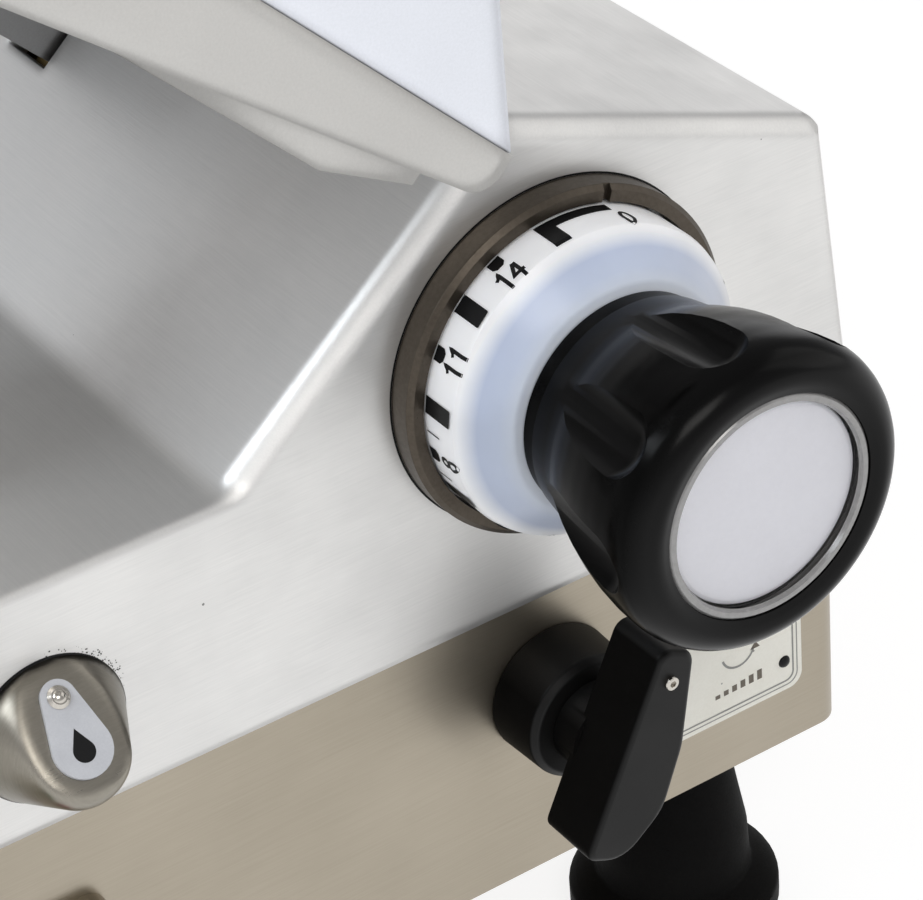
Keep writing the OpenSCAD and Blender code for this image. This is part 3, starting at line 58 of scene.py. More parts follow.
photoCamera = {
    "turn": 31.12,  # degrees to the left of the front
    "lift": 34.04,
    "roll": 5.02,
    "place": (-356.3, -547.7, 416.8),
    "focalPixels": 3486,
    "widthPixels": 923,
    "sensor": 36,
    "nearest": 0.01,
}


def placeCamera(c):
    turn, lift, roll = (math.radians(c[k]) for k in ("turn", "lift", "roll"))
    flat = math.cos(lift)
    back = Vector((-math.sin(turn) * flat, -math.cos(turn) * flat, math.sin(lift)))
    level = Vector((math.cos(turn), -math.sin(turn), 0))
    over = back.cross(level)
    right = level * math.cos(roll) - over * math.sin(roll)
    up = level * math.sin(roll) + over * math.cos(roll)
    camera = addObject("photoCamera", bpy.data.cameras.new("photoCamera"))
    camera.data.sensor_width = c["sensor"]
    camera.data.lens = c["focalPixels"] * c["sensor"] / c["widthPixels"]
    camera.data.clip_start = c["nearest"]
    turned = Matrix((right, up, back)).transposed().to_4x4()
    camera.matrix_world = Matrix.Translation(at(*c["place"])) @ turned
    bpy.context.scene.camera = camera


softBoxes = {  # place and aim in metres, width and height, watts, colour
    "leftBox": ((-2.0, 0.05, 2.2), (0, -0.1, 0.3), (1.3, 1.1), 34, (0.88, 0.94, 1.0)),
    "frontBox": ((-0.7, -2.3, 2.3), (0, -0.1, 0.25), (1.6, 1.0), 24, (1.0, 0.98, 0.95)),
    "sideBox": ((2.3, -1.0, 1.5), (0, -0.1, 0.25), (2.2, 2.2), 13, (1.0, 0.99, 0.97)),
    "rearBox": ((2.1, 2.0, 0.85), (0, -0.1, 0.25), (1.8, 1.2), 4.5, (1.0, 1.0, 1.0)),
}


def placeLights():
    for name, (place, aim, size, watts, colour) in softBoxes.items():
        lamp = bpy.data.lights.new(name, "AREA")
        lamp.shape = "RECTANGLE"
        lamp.size, lamp.size_y = size
        lamp.energy = watts
        lamp.color = colour
        box = addObject(name, lamp)
        box.location = place
        box.rotation_euler = (Vector(aim) - Vector(place)).to_track_quat("-Z", "Y").to_euler()


# short ways to make nodes

def node(tree, kind, inputs=None, **settings):
    made = tree.nodes.new(kind)
    for key, value in settings.items():
        setattr(made, key, value)
    for key, value in (inputs or {}).items():
        if isinstance(value, bpy.types.NodeSocket):
            tree.links.new(value, made.inputs[key])
        else:
            made.inputs[key].default_value = value
    return made


def calc(tree, operation, *values):
    return node(tree, "ShaderNodeMath", dict(enumerate(values)), operation=operation).outputs[0]


def vectorCalc(tree, operation, *values):
    return node(tree, "ShaderNodeVectorMath", dict(enumerate(values)), operation=operation).outputs


def split(tree, vector):
    return node(tree, "ShaderNodeSeparateXYZ", {0: vector}).outputs


def spread(tree, value, low, high, first=0.0, last=1.0):
    inputs = {0: value, 1: low, 2: high, 3: first, 4: last}
    return node(tree, "ShaderNodeMapRange", inputs).outputs[0]


def mix(tree, share, low, high):
    return node(tree, "ShaderNodeMix", {0: share, 2: low, 3: high}).outputs[0]


def blend(tree, share, low, high, **settings):
    inputs = {0: share, 6: low, 7: high}
    return node(tree, "ShaderNodeMix", inputs, data_type="RGBA", **settings).outputs[2]


def setStops(ramp, stops):
    marks = ramp.color_ramp.elements
    while len(marks) < len(stops):
        marks.new(0.5)
    for mark, (place, colour) in zip(marks, stops):
        mark.position = place
        mark.color = (*colour, 1)
    return ramp.outputs["Color"]


def setInputs(shader, values):
    for socket, value in values.items():
        shader.inputs[socket].default_value = value


def newMaterial(name):
    made = bpy.data.materials.new(name)
    made.use_nodes = True
    return made, made.node_tree, made.node_tree.nodes["Principled BSDF"]


sky = {
    "tones": ((0.02, 0.78), (0.3, 0.46), (0.9, 0.41)),  # height and tone: horizon, middle and top
    "blue": 1.02,
    "lean": 0.28,  # lighter to the left, darker to the right
}


def paintSky(s):
    world = bpy.data.worlds.new("studio")
    bpy.context.scene.world = world
    world.use_nodes = True
    tree = world.node_tree
    tree.nodes.clear()
    way = split(tree, node(tree, "ShaderNodeTexCoord").outputs["Generated"])
    ramp = node(tree, "ShaderNodeValToRGB", {0: way["Z"]})
    stops = [(height, (tone, tone, tone * s["blue"])) for height, tone in s["tones"]]
    colour = setStops(ramp, stops)
    lean = calc(tree, "MULTIPLY_ADD", way["X"], -s["lean"], 1.0)
    light = node(tree, "ShaderNodeBackground", {"Color": colour, "Strength": lean})
    out = node(tree, "ShaderNodeOutputWorld")
    tree.links.new(light.outputs[0], out.inputs[0])


floorLook = {
    "reach": 40.0, "colour": (0.9, 0.9, 0.9), "rough": 0.9,
    "seenWhite": 1.25, "seenShare": 0.65,
}


def layFloor(f):
    mesh = bpy.data.meshes.new("floor")
    corners = [(x * f["reach"], y * f["reach"], 0) for x, y in ((-1, -1), (1, -1), (1, 1), (-1, 1))]
    mesh.from_pydata(corners, [], [(0, 1, 2, 3)])
    floor = addObject("floor", mesh)
    pale, tree, matt = newMaterial("paleFloor")
    setInputs(matt, {"Base Color": (*f["colour"], 1), "Roughness": f["rough"]})
    ray = node(tree, "ShaderNodeLightPath").outputs
    seen = calc(tree, "MAXIMUM", ray["Is Camera Ray"], ray["Is Glossy Ray"])
    seen = calc(tree, "MAXIMUM", seen, ray["Is Transmission Ray"])
    share = calc(tree, "MULTIPLY", seen, f["seenShare"])
    white = node(tree, "ShaderNodeEmission", {"Color": (1, 1, 1, 1), "Strength": f["seenWhite"]})
    mixed = node(tree, "ShaderNodeMixShader", {0: share, 1: matt.outputs[0], 2: white.outputs[0]})
    tree.links.new(mixed.outputs[0], tree.nodes["Material Output"].inputs["Surface"])
    mesh.materials.append(pale)


placeCamera(photoCamera)
placeLights()
paintSky(sky)
layFloor(floorLook)
bpy.context.scene.view_settings.view_transform = "Standard"
print("camera, light and floor placed")


# shader groups that several finishes share

def shaderGroup(name, inputs, outputs):
    tree = bpy.data.node_groups.new(name, "ShaderNodeTree")
    for label, kind, value in inputs:
        socket = tree.interface.new_socket(label, in_out="INPUT", socket_type=kind)
        socket.default_value = value
    for label in outputs:
        tree.interface.new_socket(label, in_out="OUTPUT", socket_type="NodeSocketFloat")
    return tree, tree.nodes.new("NodeGroupInput"), tree.nodes.new("NodeGroupOutput")


grindNoise = {
    "cells": (90, 2500, 2500), "patchSize": 0.03,  # cells per metre along each axis, metres
    "streak": {"Scale": 1.0, "Detail": 3.0, "Roughness": 0.65}, "streakRange": (0.3, 0.7),
    "patch": {"Detail": 4.0, "Roughness": 0.55}, "patchRange": (0.32, 0.68),
}


def makeGrindMarks(g):
    # long fine streaks and softer patches
    tree, start, end = shaderGroup(
        "grindMarks",
        [("Vector", "NodeSocketVector", (0, 0, 0)), ("Cells", "NodeSocketVector", g["cells"]),
         ("Patch Size", "NodeSocketFloat", g["patchSize"])],
        ["Streak", "Patch"])
    place = start.outputs["Vector"]
    fine = vectorCalc(tree, "MULTIPLY", place, start.outputs["Cells"])[0]
    streak = node(tree, "ShaderNodeTexNoise", {"Vector": fine, **g["streak"]}).outputs[0]
    size = calc(tree, "DIVIDE", 1.0, start.outputs["Patch Size"])
    patch = node(tree, "ShaderNodeTexNoise",
                 {"Vector": place, "Scale": size, **g["patch"]}).outputs[0]
    tree.links.new(spread(tree, streak, *g["streakRange"]), end.inputs["Streak"])
    tree.links.new(spread(tree, patch, *g["patchRange"]), end.inputs["Patch"])
    return tree


speckSizes = {"perMetre": 300.0, "amount": 0.1, "largest": 0.16}  # largest: share of a cell


def makeSpecks(s):
    # sparse small round specks: pits in metal, dust on plastic
    tree, start, end = shaderGroup(
        "specks",
        [("Vector", "NodeSocketVector", (0, 0, 0)), ("Per Metre", "NodeSocketFloat", s["perMetre"]),
         ("Amount", "NodeSocketFloat", s["amount"])],
        ["Mask"])
    cells = node(tree, "ShaderNodeTexVoronoi",
                 {"Vector": start.outputs["Vector"], "Scale": start.outputs["Per Metre"]}).outputs
    draw = node(tree, "ShaderNodeSeparateColor", {0: cells["Color"]}).outputs
    chosen = calc(tree, "LESS_THAN", draw[0], start.outputs["Amount"])
    near = calc(tree, "LESS_THAN", cells["Distance"], calc(tree, "MULTIPLY", draw[1], s["largest"]))
    tree.links.new(calc(tree, "MULTIPLY", chosen, near), end.inputs["Mask"])
    return tree


grindMarks = makeGrindMarks(grindNoise)
specks = makeSpecks(speckSizes)


# finishes: colours are linear, cells are streaks per metre along x, y and z

finishes = {
    "castMetal": dict(
        dark=(0.695, 0.69, 0.678), light=(0.785, 0.776, 0.759), metallic=0.87, rough=(0.36, 0.5),
        cells=(2200, 70, 2200), front=(70, 2200, 2200), patch=0.03, bump=0.04, pits=0.004,
        round=0.004, slot="satin_aluminium"),
    "plateMetal": dict(
        dark=(0.33, 0.33, 0.33), light=(0.41, 0.41, 0.415), metallic=1.0, rough=(0.36, 0.46),
        cells=(1800, 50, 1800), patch=0.06, bump=0.03, pits=0.03, slot="satin_aluminium"),
    "trayMetal": dict(
        dark=(0.50, 0.49, 0.472), light=(0.575, 0.565, 0.545), metallic=1.0, rough=(0.32, 0.42),
        cells=(1800, 50, 1800), patch=0.08, bump=0.02, pits=0.0, round=0.007,
        slot="satin_aluminium"),
    # painted reflection: the fence is the tray's aluminium made paler and bluer, for the bluish
    # light it reflects
    "fenceMetal": dict(
        dark=(0.71, 0.73, 0.775), light=(0.80, 0.82, 0.88), metallic=1.0, rough=(0.32, 0.42),
        cells=(1800, 50, 1800), patch=0.08, bump=0.02, pits=0.0, round=0.007,
        slot="satin_aluminium"),
    "columnPaint": dict(
        dark=(0.44, 0.44, 0.44), light=(0.52, 0.52, 0.52), metallic=0.25, rough=(0.42, 0.55),
        cells=(1500, 1500, 1500), patch=0.05, bump=0.02, pits=0.0, slot="satin_aluminium"),
    "capSteel": dict(
        dark=(0.24, 0.222, 0.188), light=(0.32, 0.298, 0.255), metallic=1.0, rough=(0.26, 0.34),
        cells=(300, 2600, 300), patch=0.02, bump=0.01, pits=0.02, round=0.004,
        slot="polished_steel"),
    # painted reflection: the stainless steel is tinted tan for the warm surroundings it reflects
    "skirtSteel": dict(
        dark=(0.365, 0.324, 0.258), light=(0.42, 0.373, 0.302), metallic=1.0, rough=(0.3, 0.42),
        cells=(45, 45, 2600), patch=0.05, bump=0.03, pits=0.004, slot="stainless"),
    "turnedSteel": dict(
        dark=(0.52, 0.49, 0.44), light=(0.64, 0.61, 0.56), metallic=1.0, rough=(0.14, 0.24),
        cells=(300, 2600, 300), patch=0.02, bump=0.01, pits=0.02, slot="polished_steel"),
    "bladeSteel": dict(
        dark=(0.25, 0.25, 0.26), light=(0.33, 0.33, 0.34), metallic=1.0, rough=(0.24, 0.32),
        cells=(900, 900, 900), patch=0.05, bump=0.006, pits=0.0, slot="polished_steel"),
    "bezelBronze": dict(
        dark=(0.062, 0.050, 0.038), light=(0.10, 0.084, 0.066), metallic=0.8, rough=(0.34, 0.46),
        cells=(900, 900, 900), patch=0.03, bump=0.02, pits=0.05, slot="bronze_ring"),
    "bushBrass": dict(
        dark=(0.42, 0.30, 0.12), light=(0.58, 0.43, 0.2), metallic=1.0, rough=(0.25, 0.4),
        cells=(900, 900, 900), patch=0.02, bump=0.02, pits=0.05, slot="brass_bush"),
    # the black finishes below carry a painted sheen: more specular on faces to the front and
    # upwards
    "knobBlack": dict(
        dark=(0.0015, 0.0015, 0.0015), light=(0.003, 0.0029, 0.0028), metallic=0.0,
        rough=(0.18, 0.26), cells=(1600, 1600, 1600), patch=0.02, bump=0.004, pits=0.02,
        sheen=0.035, frontSheen=0.14, slot="black_plastic"),
    "mattBlack": dict(
        dark=(0.0025, 0.0024, 0.0023), light=(0.0045, 0.0043, 0.0041), metallic=0.0,
        rough=(0.40, 0.52), cells=(2600, 2600, 2600), patch=0.02, bump=0.04, pits=0.02,
        sheen=0.02, frontSheen=0.24, slot="black_plastic"),
    "footRubber": dict(
        dark=(0.0025, 0.0025, 0.0025), light=(0.005, 0.0048, 0.0046), metallic=0.0,
        rough=(0.5, 0.7), cells=(1500, 1500, 1500), patch=0.03, bump=0.05, pits=0.04,
        sheen=0.03, frontSheen=0.04, slot="black_rubber"),
    "tagPaint": dict(
        dark=(0.49, 0.50, 0.53), light=(0.58, 0.59, 0.62), metallic=0.15, rough=(0.38, 0.5),
        cells=(2200, 2200, 2200), patch=0.006, bump=0.03, pits=0.05, slot="satin_aluminium"),
    "discPaint": dict(
        dark=(0.90, 0.90, 0.93), light=(0.95, 0.95, 0.98), metallic=0.0, rough=(0.3, 0.4),
        cells=(900, 900, 900), patch=0.02, bump=0.01, pits=0.0, slot="pale_disc"),
    "platePaint": dict(
        dark=(0.80, 0.78, 0.70), light=(0.88, 0.865, 0.79), metallic=0.0, rough=(0.32, 0.45),
        cells=(1500, 1500, 1500), patch=0.02, bump=0.02, pits=0.03, slot="cream_plate"),
    "printInk": dict(
        dark=(0.004, 0.004, 0.0045), light=(0.009, 0.009, 0.0095), metallic=0.0, rough=(0.3, 0.45),
        cells=(2600, 2600, 2600), patch=0.004, bump=0.02, pits=0.03, sheen=0.2,
        slot="black_plastic"),
    "brownInk": dict(
        dark=(0.085, 0.07, 0.05), light=(0.15, 0.125, 0.095), metallic=0.0, rough=(0.4, 0.5),
        cells=(2600, 2600, 2600), patch=0.004, bump=0.02, pits=0.0, slot="dark_steel"),
    "greyInk": dict(
        dark=(0.20, 0.20, 0.19), light=(0.30, 0.30, 0.28), metallic=0.0, rough=(0.4, 0.5),
        cells=(2600, 2600, 2600), patch=0.004, bump=0.02, pits=0.0, slot="dark_steel"),
    "darkSteel": dict(
        dark=(0.10, 0.10, 0.10), light=(0.17, 0.17, 0.175), metallic=0.9, rough=(0.35, 0.5),
        cells=(700, 700, 700), patch=0.02, bump=0.03, pits=0.05, slot="dark_steel"),
    "greenCap": dict(
        dark=(0.012, 0.17, 0.05), light=(0.02, 0.24, 0.075), metallic=0.0, rough=(0.22, 0.32),
        cells=(1500, 1500, 1500), patch=0.01, bump=0.01, pits=0.0, slot="green_plastic"),
    "redCap": dict(
        dark=(0.36, 0.014, 0.012), light=(0.47, 0.022, 0.018), metallic=0.0, rough=(0.22, 0.32),
        cells=(1500, 1500, 1500), patch=0.01, bump=0.01, pits=0.0, slot="red_plastic"),
    "stoneGrit": dict(
        dark=(0.15, 0.14, 0.13), light=(0.40, 0.38, 0.35), metallic=0.0, rough=(0.8, 0.95),
        cells=(2600, 2600, 2600), patch=0.0006, bump=0.3, pits=0.3, slot="abrasive"),
}

wearAndPaintedSheen = {  # what all the finishes have in common
    "sheen": 0.5, "streakShare": 0.45, "pitTone": 0.35, "bumpDepth": 0.0004, "roundSamples": 8,
    # limits of the normal's y to the front and of its z upwards, for the painted sheen
    "groundFront": -0.8, "paintedSheenFront": (-0.4, -0.85), "paintedSheenUp": (0.55, 1.0),
}


def facing(tree):
    return split(tree, node(tree, "ShaderNodeNewGeometry").outputs["Normal"])


def grind(tree, place, cells, patch):
    inputs = {"Vector": place, "Cells": cells, "Patch Size": patch}
    return node(tree, "ShaderNodeGroup", inputs, node_tree=grindMarks).outputs


def speckMask(tree, place, inputs):
    return node(tree, "ShaderNodeGroup", {"Vector": place, **inputs}, node_tree=specks).outputs[0]


def makeFinish(name, f):
    made, tree, shader = newMaterial(name)
    sheen = f.get("sheen", wearAndPaintedSheen["sheen"])
    setInputs(shader, {"Metallic": f["metallic"], "Specular IOR Level": sheen})
    place = node(tree, "ShaderNodeTexCoord").outputs["Object"]
    marks = grind(tree, place, f["cells"], f["patch"])
    streak = marks["Streak"]
    if "front" in f:  # faces to the front are ground along x
        front = calc(tree, "LESS_THAN", facing(tree)["Y"], wearAndPaintedSheen["groundFront"])
        streak = mix(tree, front, streak, grind(tree, place, f["front"], f["patch"])["Streak"])
    if "frontSheen" in f:  # painted sheen: faces to the front and upwards get more specular, for the light that falls on them
        way = facing(tree)
        front = spread(tree, way["Y"], *wearAndPaintedSheen["paintedSheenFront"])
        up = spread(tree, way["Z"], *wearAndPaintedSheen["paintedSheenUp"])
        facingLit = calc(tree, "MAXIMUM", front, up)
        shine = spread(tree, facingLit, 0.0, 1.0, sheen, f["frontSheen"])
        tree.links.new(shine, shader.inputs["Specular IOR Level"])
    pits = speckMask(tree, place, {"Amount": f["pits"]})
    tone = mix(tree, wearAndPaintedSheen["streakShare"], marks["Patch"], streak)
    colour = blend(tree, tone, (*f["dark"], 1), (*f["light"], 1))
    colour = blend(tree, pits, colour, (*(wearAndPaintedSheen["pitTone"] * c for c in f["dark"]), 1))
    tree.links.new(colour, shader.inputs["Base Color"])
    low, high = f["rough"]
    tree.links.new(spread(tree, tone, 0.0, 1.0, high, low), shader.inputs["Roughness"])
    bump = node(tree, "ShaderNodeBump",
                {"Height": streak, "Strength": f["bump"], "Distance": wearAndPaintedSheen["bumpDepth"]})
    if "round" in f:  # edges that are polished over by hand
        worn = node(tree, "ShaderNodeBevel", {"Radius": f["round"]}, samples=wearAndPaintedSheen["roundSamples"])
        tree.links.new(worn.outputs[0], bump.inputs["Normal"])
    tree.links.new(bump.outputs[0], shader.inputs["Normal"])
    return made


def aroundDial(tree):
    # place, and distance from the dial's axis in millimetres
    place = node(tree, "ShaderNodeTexCoord").outputs["Object"]
    part = split(tree, vectorCalc(tree, "SUBTRACT", place, dialAxis)[0])
    flat = node(tree, "ShaderNodeCombineXYZ", {0: part["X"], 1: part["Z"]}).outputs[0]
    return place, calc(tree, "MULTIPLY", vectorCalc(tree, "LENGTH", flat)["Value"], 1 / mm)


milkyDial = {
    "zones": [(26.5, (0.62, 0.66, 0.73)), (28.3, (0.58, 0.63, 0.72)), (30.6, (0.50, 0.56, 0.69)),
              (33.8, (0.46, 0.52, 0.66)), (35.4, (0.68, 0.71, 0.78)), (36.9, (0.87, 0.88, 0.90)),
              (38.0, (0.86, 0.86, 0.87))],  # radius and colour
    "cloud": {"Scale": 60.0, "Detail": 4.0}, "cloudTone": (0.3, 0.7, 0.93, 1.0),
    "paintedTopLight": 0.3, "paintedTopFrom": (0.005, 0.03),  # painted light: lighter towards the top, in metres over the axis
    "paler": (0.72, 0.73, 0.76), "palerShare": 0.6,  # painted reflection: paler away from the bluish light, down to the right
    "palerWay": (0.75, 0.0, -0.65), "palerFrom": (-0.008, 0.034),
    "dust": {"Per Metre": 500.0, "Amount": 0.01}, "dustColour": (0.3, 0.29, 0.28),
    "milk": {"Roughness": 0.28, "Subsurface Weight": 0.25, "Subsurface Radius": (1.0, 1.05, 1.15),
             "Subsurface Scale": 0.002},
    "slot": "milky_plastic",
}


def makeMilk(d):
    made, tree, shader = newMaterial("milkyDial")
    place, radius = aroundDial(tree)
    first, last = d["zones"][0][0], d["zones"][-1][0]
    ramp = node(tree, "ShaderNodeValToRGB", {0: spread(tree, radius, first, last)})
    stops = [((reach - first) / (last - first), colour) for reach, colour in d["zones"]]
    zones = setStops(ramp, stops)
    cloud = node(tree, "ShaderNodeTexNoise", {"Vector": place, **d["cloud"]}).outputs[0]
    # painted light: the dial is lighter towards the top
    low, high = (dialAxis.z + height for height in d["paintedTopFrom"])
    lift = spread(tree, split(tree, place)["Z"], low, high, 1.0, 1 + d["paintedTopLight"])
    tone = calc(tree, "MULTIPLY", spread(tree, cloud, *d["cloudTone"]), lift)
    # painted reflection: the bluish light shows less down to the right, where the dial turns paler
    side = vectorCalc(tree, "DOT_PRODUCT", place, d["palerWay"])["Value"]
    low, high = (dialAxis.dot(Vector(d["palerWay"])) + reach for reach in d["palerFrom"])
    fade = spread(tree, side, low, high, 0.0, d["palerShare"])
    zones = blend(tree, fade, zones, (*d["paler"], 1))
    tinted = blend(tree, 1.0, zones, tone, blend_type="MULTIPLY")
    dusty = blend(tree, speckMask(tree, place, d["dust"]), tinted, (*d["dustColour"], 1))
    tree.links.new(dusty, shader.inputs["Base Color"])
    setInputs(shader, d["milk"])
    return made


clearLens = {
    "rimInner": 23.9, "rimColour": (0.36, 0.355, 0.35), "rimShade": 0.7,
    "rim": {"Metallic": 0.25, "Roughness": 0.22}, "haze": {"Scale": 900.0, "Detail": 3.0},
    "clear": (0.97, 0.97, 0.98), "shine": 0.08, "bend": 1.2,
    "slot": "clear_lens",
}


def makeLens(d):
    # a steel-grey rim round a clear pane
    made, tree, rim = newMaterial("clearLens")
    setInputs(rim, d["rim"])
    place, radius = aroundDial(tree)
    haze = node(tree, "ShaderNodeTexNoise", {"Vector": place, **d["haze"]}).outputs[0]
    shade = (*(d["rimShade"] * c for c in d["rimColour"]), 1)
    tree.links.new(blend(tree, haze, shade, (*d["rimColour"], 1)), rim.inputs["Base Color"])
    clear = node(tree, "ShaderNodeBsdfTransparent", {"Color": (*d["clear"], 1)})
    shine = node(tree, "ShaderNodeBsdfGlossy", {"Roughness": d["shine"]})
    edge = node(tree, "ShaderNodeFresnel", {"IOR": d["bend"]}).outputs[0]
    pane = node(tree, "ShaderNodeMixShader", {0: edge, 1: clear.outputs[0], 2: shine.outputs[0]})
    isRim = calc(tree, "GREATER_THAN", radius, d["rimInner"])
    both = node(tree, "ShaderNodeMixShader", {0: isRim, 1: pane.outputs[0], 2: rim.outputs[0]})
    tree.links.new(both.outputs[0], tree.nodes["Material Output"].inputs["Surface"])
    return made


paint = {name: makeFinish(name, f) for name, f in finishes.items()}
paint["milkyDial"] = makeMilk(milkyDial)
paint["clearLens"] = makeLens(clearLens)
slotOf = {name: f["slot"] for name, f in finishes.items()}
slotOf |= {"milkyDial": milkyDial["slot"], "clearLens": clearLens["slot"]}
print("finishes made:", len(paint))


# CAD nodes that show as they are: merged, softly beveled and given a finish

edgeLook = {
    "merge": 2e-6,  # metres
    "sharp": 30, "bevelFrom": 38,  # degrees
    "segments": 2, "weight": 100,
}


def makeSmoothCad(e):
    tree = bpy.data.node_groups.new("smoothCad", "GeometryNodeTree")
    tree.interface.new_socket("Geometry", in_out="INPUT", socket_type="NodeSocketGeometry")
    angle = tree.interface.new_socket("Sharp Angle", in_out="INPUT", socket_type="NodeSocketFloat")
    angle.default_value = math.radians(e["sharp"])
    tree.interface.new_socket("Geometry", in_out="OUTPUT", socket_type="NodeSocketGeometry")
    start, end = tree.nodes.new("NodeGroupInput"), tree.nodes.new("NodeGroupOutput")
    merged = node(tree, "GeometryNodeMergeByDistance",
                  {"Geometry": start.outputs[0], "Distance": e["merge"]})
    plain = node(tree, "GeometryNodeRemoveAttribute",
                 {"Geometry": merged.outputs[0], "Name": "custom_normal"})
    soft = node(tree, "GeometryNodeSetShadeSmooth",
                {"Geometry": plain.outputs[0], "Shade Smooth": True}, domain="FACE")
    bend = node(tree, "GeometryNodeInputMeshEdgeAngle").outputs["Unsigned Angle"]
    low = node(tree, "FunctionNodeCompare",
               {0: bend, 1: start.outputs["Sharp Angle"]}, operation="LESS_THAN")
    sharp = node(tree, "GeometryNodeSetShadeSmooth",
                 {"Geometry": soft.outputs[0], "Shade Smooth": low.outputs[0]}, domain="EDGE")
    tree.links.new(sharp.outputs[0], end.inputs[0])
    return tree


smoothCad = makeSmoothCad(edgeLook)


def dressNode(name, finish, bevel):
    piece = cad[name]
    piece.data.materials.clear()
    piece.data.materials.append(paint[finish])
    soft = piece.modifiers.new("smoothCad", "NODES")
    soft.node_group = smoothCad
    if bevel:
        edge = piece.modifiers.new("softEdge", "BEVEL")
        edge.width = bevel * mm
        edge.segments = edgeLook["segments"]
        edge.limit_method = "ANGLE"
        edge.angle_limit = math.radians(edgeLook["bevelFrom"])
        edge.harden_normals = True
    else:
        even = piece.modifiers.new("evenShade", "WEIGHTED_NORMAL")
        even.keep_sharp = True
        even.weight = edgeLook["weight"]


nodeBevels = {  # nodes of each finish, and the width of their bevels in millimetres
    "castMetal": {"body_casting": 0, "motor_housing": 1.0, "slide_block": 0.8},
    "plateMetal": {"gauge_arm": 0.8, "gauge_plate": 1.0, "ring_guard": 0.6, "blade_cover": 0.6,
                   "slice_deflector": 0.4},
    "trayMetal": {"carriage_tray": 0.8},
    "fenceMetal": {"front_fence": 0.8},
    "columnPaint": {"carriage_column": 1.0},
    "capSteel": {"oil_cap": 0},
    "skirtSteel": {"base_skirt": 0, "bottom_plate": 0.3, "switch_panel": 0.6},
    "turnedSteel": {"slide_bar": 0.5, "guide_rail": 0.3, "oil_rivet": 0.15, "knob_shaft": 0.3,
                    "motor_pulley": 0.2, "hub_pulley": 0.2, "hub_shaft": 0.3, "sharpener_post": 0.5,
                    "pusher_rod": 0.5, "drive_pulley": 0.2, "idler_pulley": 0.2},
    "bladeSteel": {"blade": 0},
    "bezelBronze": {"dial_bezel": 0.3},
    "bushBrass": {"shaft_bush": 0.3, "scroll_cam": 0.3, "gauge_guide": 0.4, "slide_bushes": 0.3},
    "knobBlack": {"thickness_knob": 0.5},
    "mattBlack": {"cable_gland": 0.5, "lever_base": 0.5, "mode_lever": 0, "rear_cover": 0.6,
                  "cover_knob": 0.6, "sharpener_body": 1.2, "carriage_handle": 1.2,
                  "pusher_sleeve": 0.6, "pusher_arm": 1.0},
    "footRubber": {"feet": 0.8, "blade_belt": 0.2, "guide_roller": 0.4, "drive_belt": 0.2},
    "tagPaint": {"oil_tag": 0},
    "discPaint": {"knob_disc": 0.1},
    "platePaint": {"legend_plate": 0.2},
    "darkSteel": {"foot_bolts": 0.4, "mode_switch": 0.5, "blade_motor": 0.6, "hub_bearings": 0.3,
                  "drive_motor": 0.6},
    "greenCap": {"start_button": 0.4},
    "redCap": {"stop_button": 0.4},
    "stoneGrit": {"grinding_stone": 0.3, "truing_stone": 0.3},
    "milkyDial": {"dial_ring": 0.3},
    "clearLens": {"knob_lens": 0.1},
}
for finish, bevels in nodeBevels.items():
    for name, bevel in bevels.items():
        dressNode(name, finish, bevel)
print("CAD nodes dressed:", sum(len(bevels) for bevels in nodeBevels.values()))


# shapes for the small pieces, as points and faces

def addPiece(name, mesh, finish, body):
    piece = addObject(name, mesh)
    mesh.materials.clear()
    mesh.materials.append(paint[finish])
    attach(piece, body)


def joined(name, shapes):
    # one mesh from several shapes
    points, faces = [], []
    for shapePoints, shapeFaces in shapes:
        faces += [[i + len(points) for i in face] for face in shapeFaces]
        points += shapePoints
    mesh = bpy.data.meshes.new(name)
    mesh.from_pydata(points, [], faces)
    mesh.update()
    return mesh


def mapped(shape, to):
    return [to(*point) for point in shape[0]], shape[1]


def flatShape(outline):
    return outline, [list(range(len(outline)))]


def turns(steps):
    return [k * math.tau / steps for k in range(steps)]


def oval(cx, cy, rx, ry, steps):
    return [(cx + rx * math.cos(turn), cy + ry * math.sin(turn)) for turn in turns(steps)]


def circle(r, steps=32):
    return oval(0, 0, r, r, steps)


def stacked(rows):
    # skin over rows of points with the same count, closed at the last one
    steps = len(rows[0])
    points = [point for row in rows for point in row]
    faces = []
    for row in range(len(rows) - 1):
        for k in range(steps):
            a, b = row * steps + k, row * steps + (k + 1) % steps
            faces.append([a, b, b + steps, a + steps])
    faces.append(list(range(len(points) - steps, len(points))))
    return points, faces


def raised(outline, height):
    return [(x, y, height) for x, y in outline]


def lathe(profile, steps=28):
    # turned round z from (radius, height) pairs, from the outer foot to the middle of its top
    return stacked([raised(circle(radius, steps), height) for radius, height in profile])


def smoothMesh(mesh):
    mesh.shade_smooth()
    return mesh


def grid(x0, y0, x1, y1, cols=1, rows=1):
    points = [(x0 + (x1 - x0) * i / cols, y0 + (y1 - y0) * j / rows)
              for j in range(rows + 1) for i in range(cols + 1)]
    faces = []
    for j in range(rows):
        for i in range(cols):
            a, b = j * (cols + 1) + i, (j + 1) * (cols + 1) + i
            faces.append([a, a + 1, b + 1, b])
    return points, faces


def band(outer, inner):
    # ring between two closed outlines with the same number of points
    count = len(outer)
    pairs = [(k, (k + 1) % count) for k in range(count)]
    return outer + inner, [[a, b, count + b, count + a] for a, b in pairs]


def roundRect(x0, y0, x1, y1, r, steps=6):
    points = []
    left, low, right, high = x0 + r, y0 + r, x1 - r, y1 - r
    corners = ((right, low, -90), (right, high, 0), (left, high, 90), (left, low, 180))
    for cx, cy, first in corners:
        for k in range(steps + 1):
            turn = math.radians(first + 90 * k / steps)
            points.append((cx + r * math.cos(turn), cy + r * math.sin(turn)))
    return points


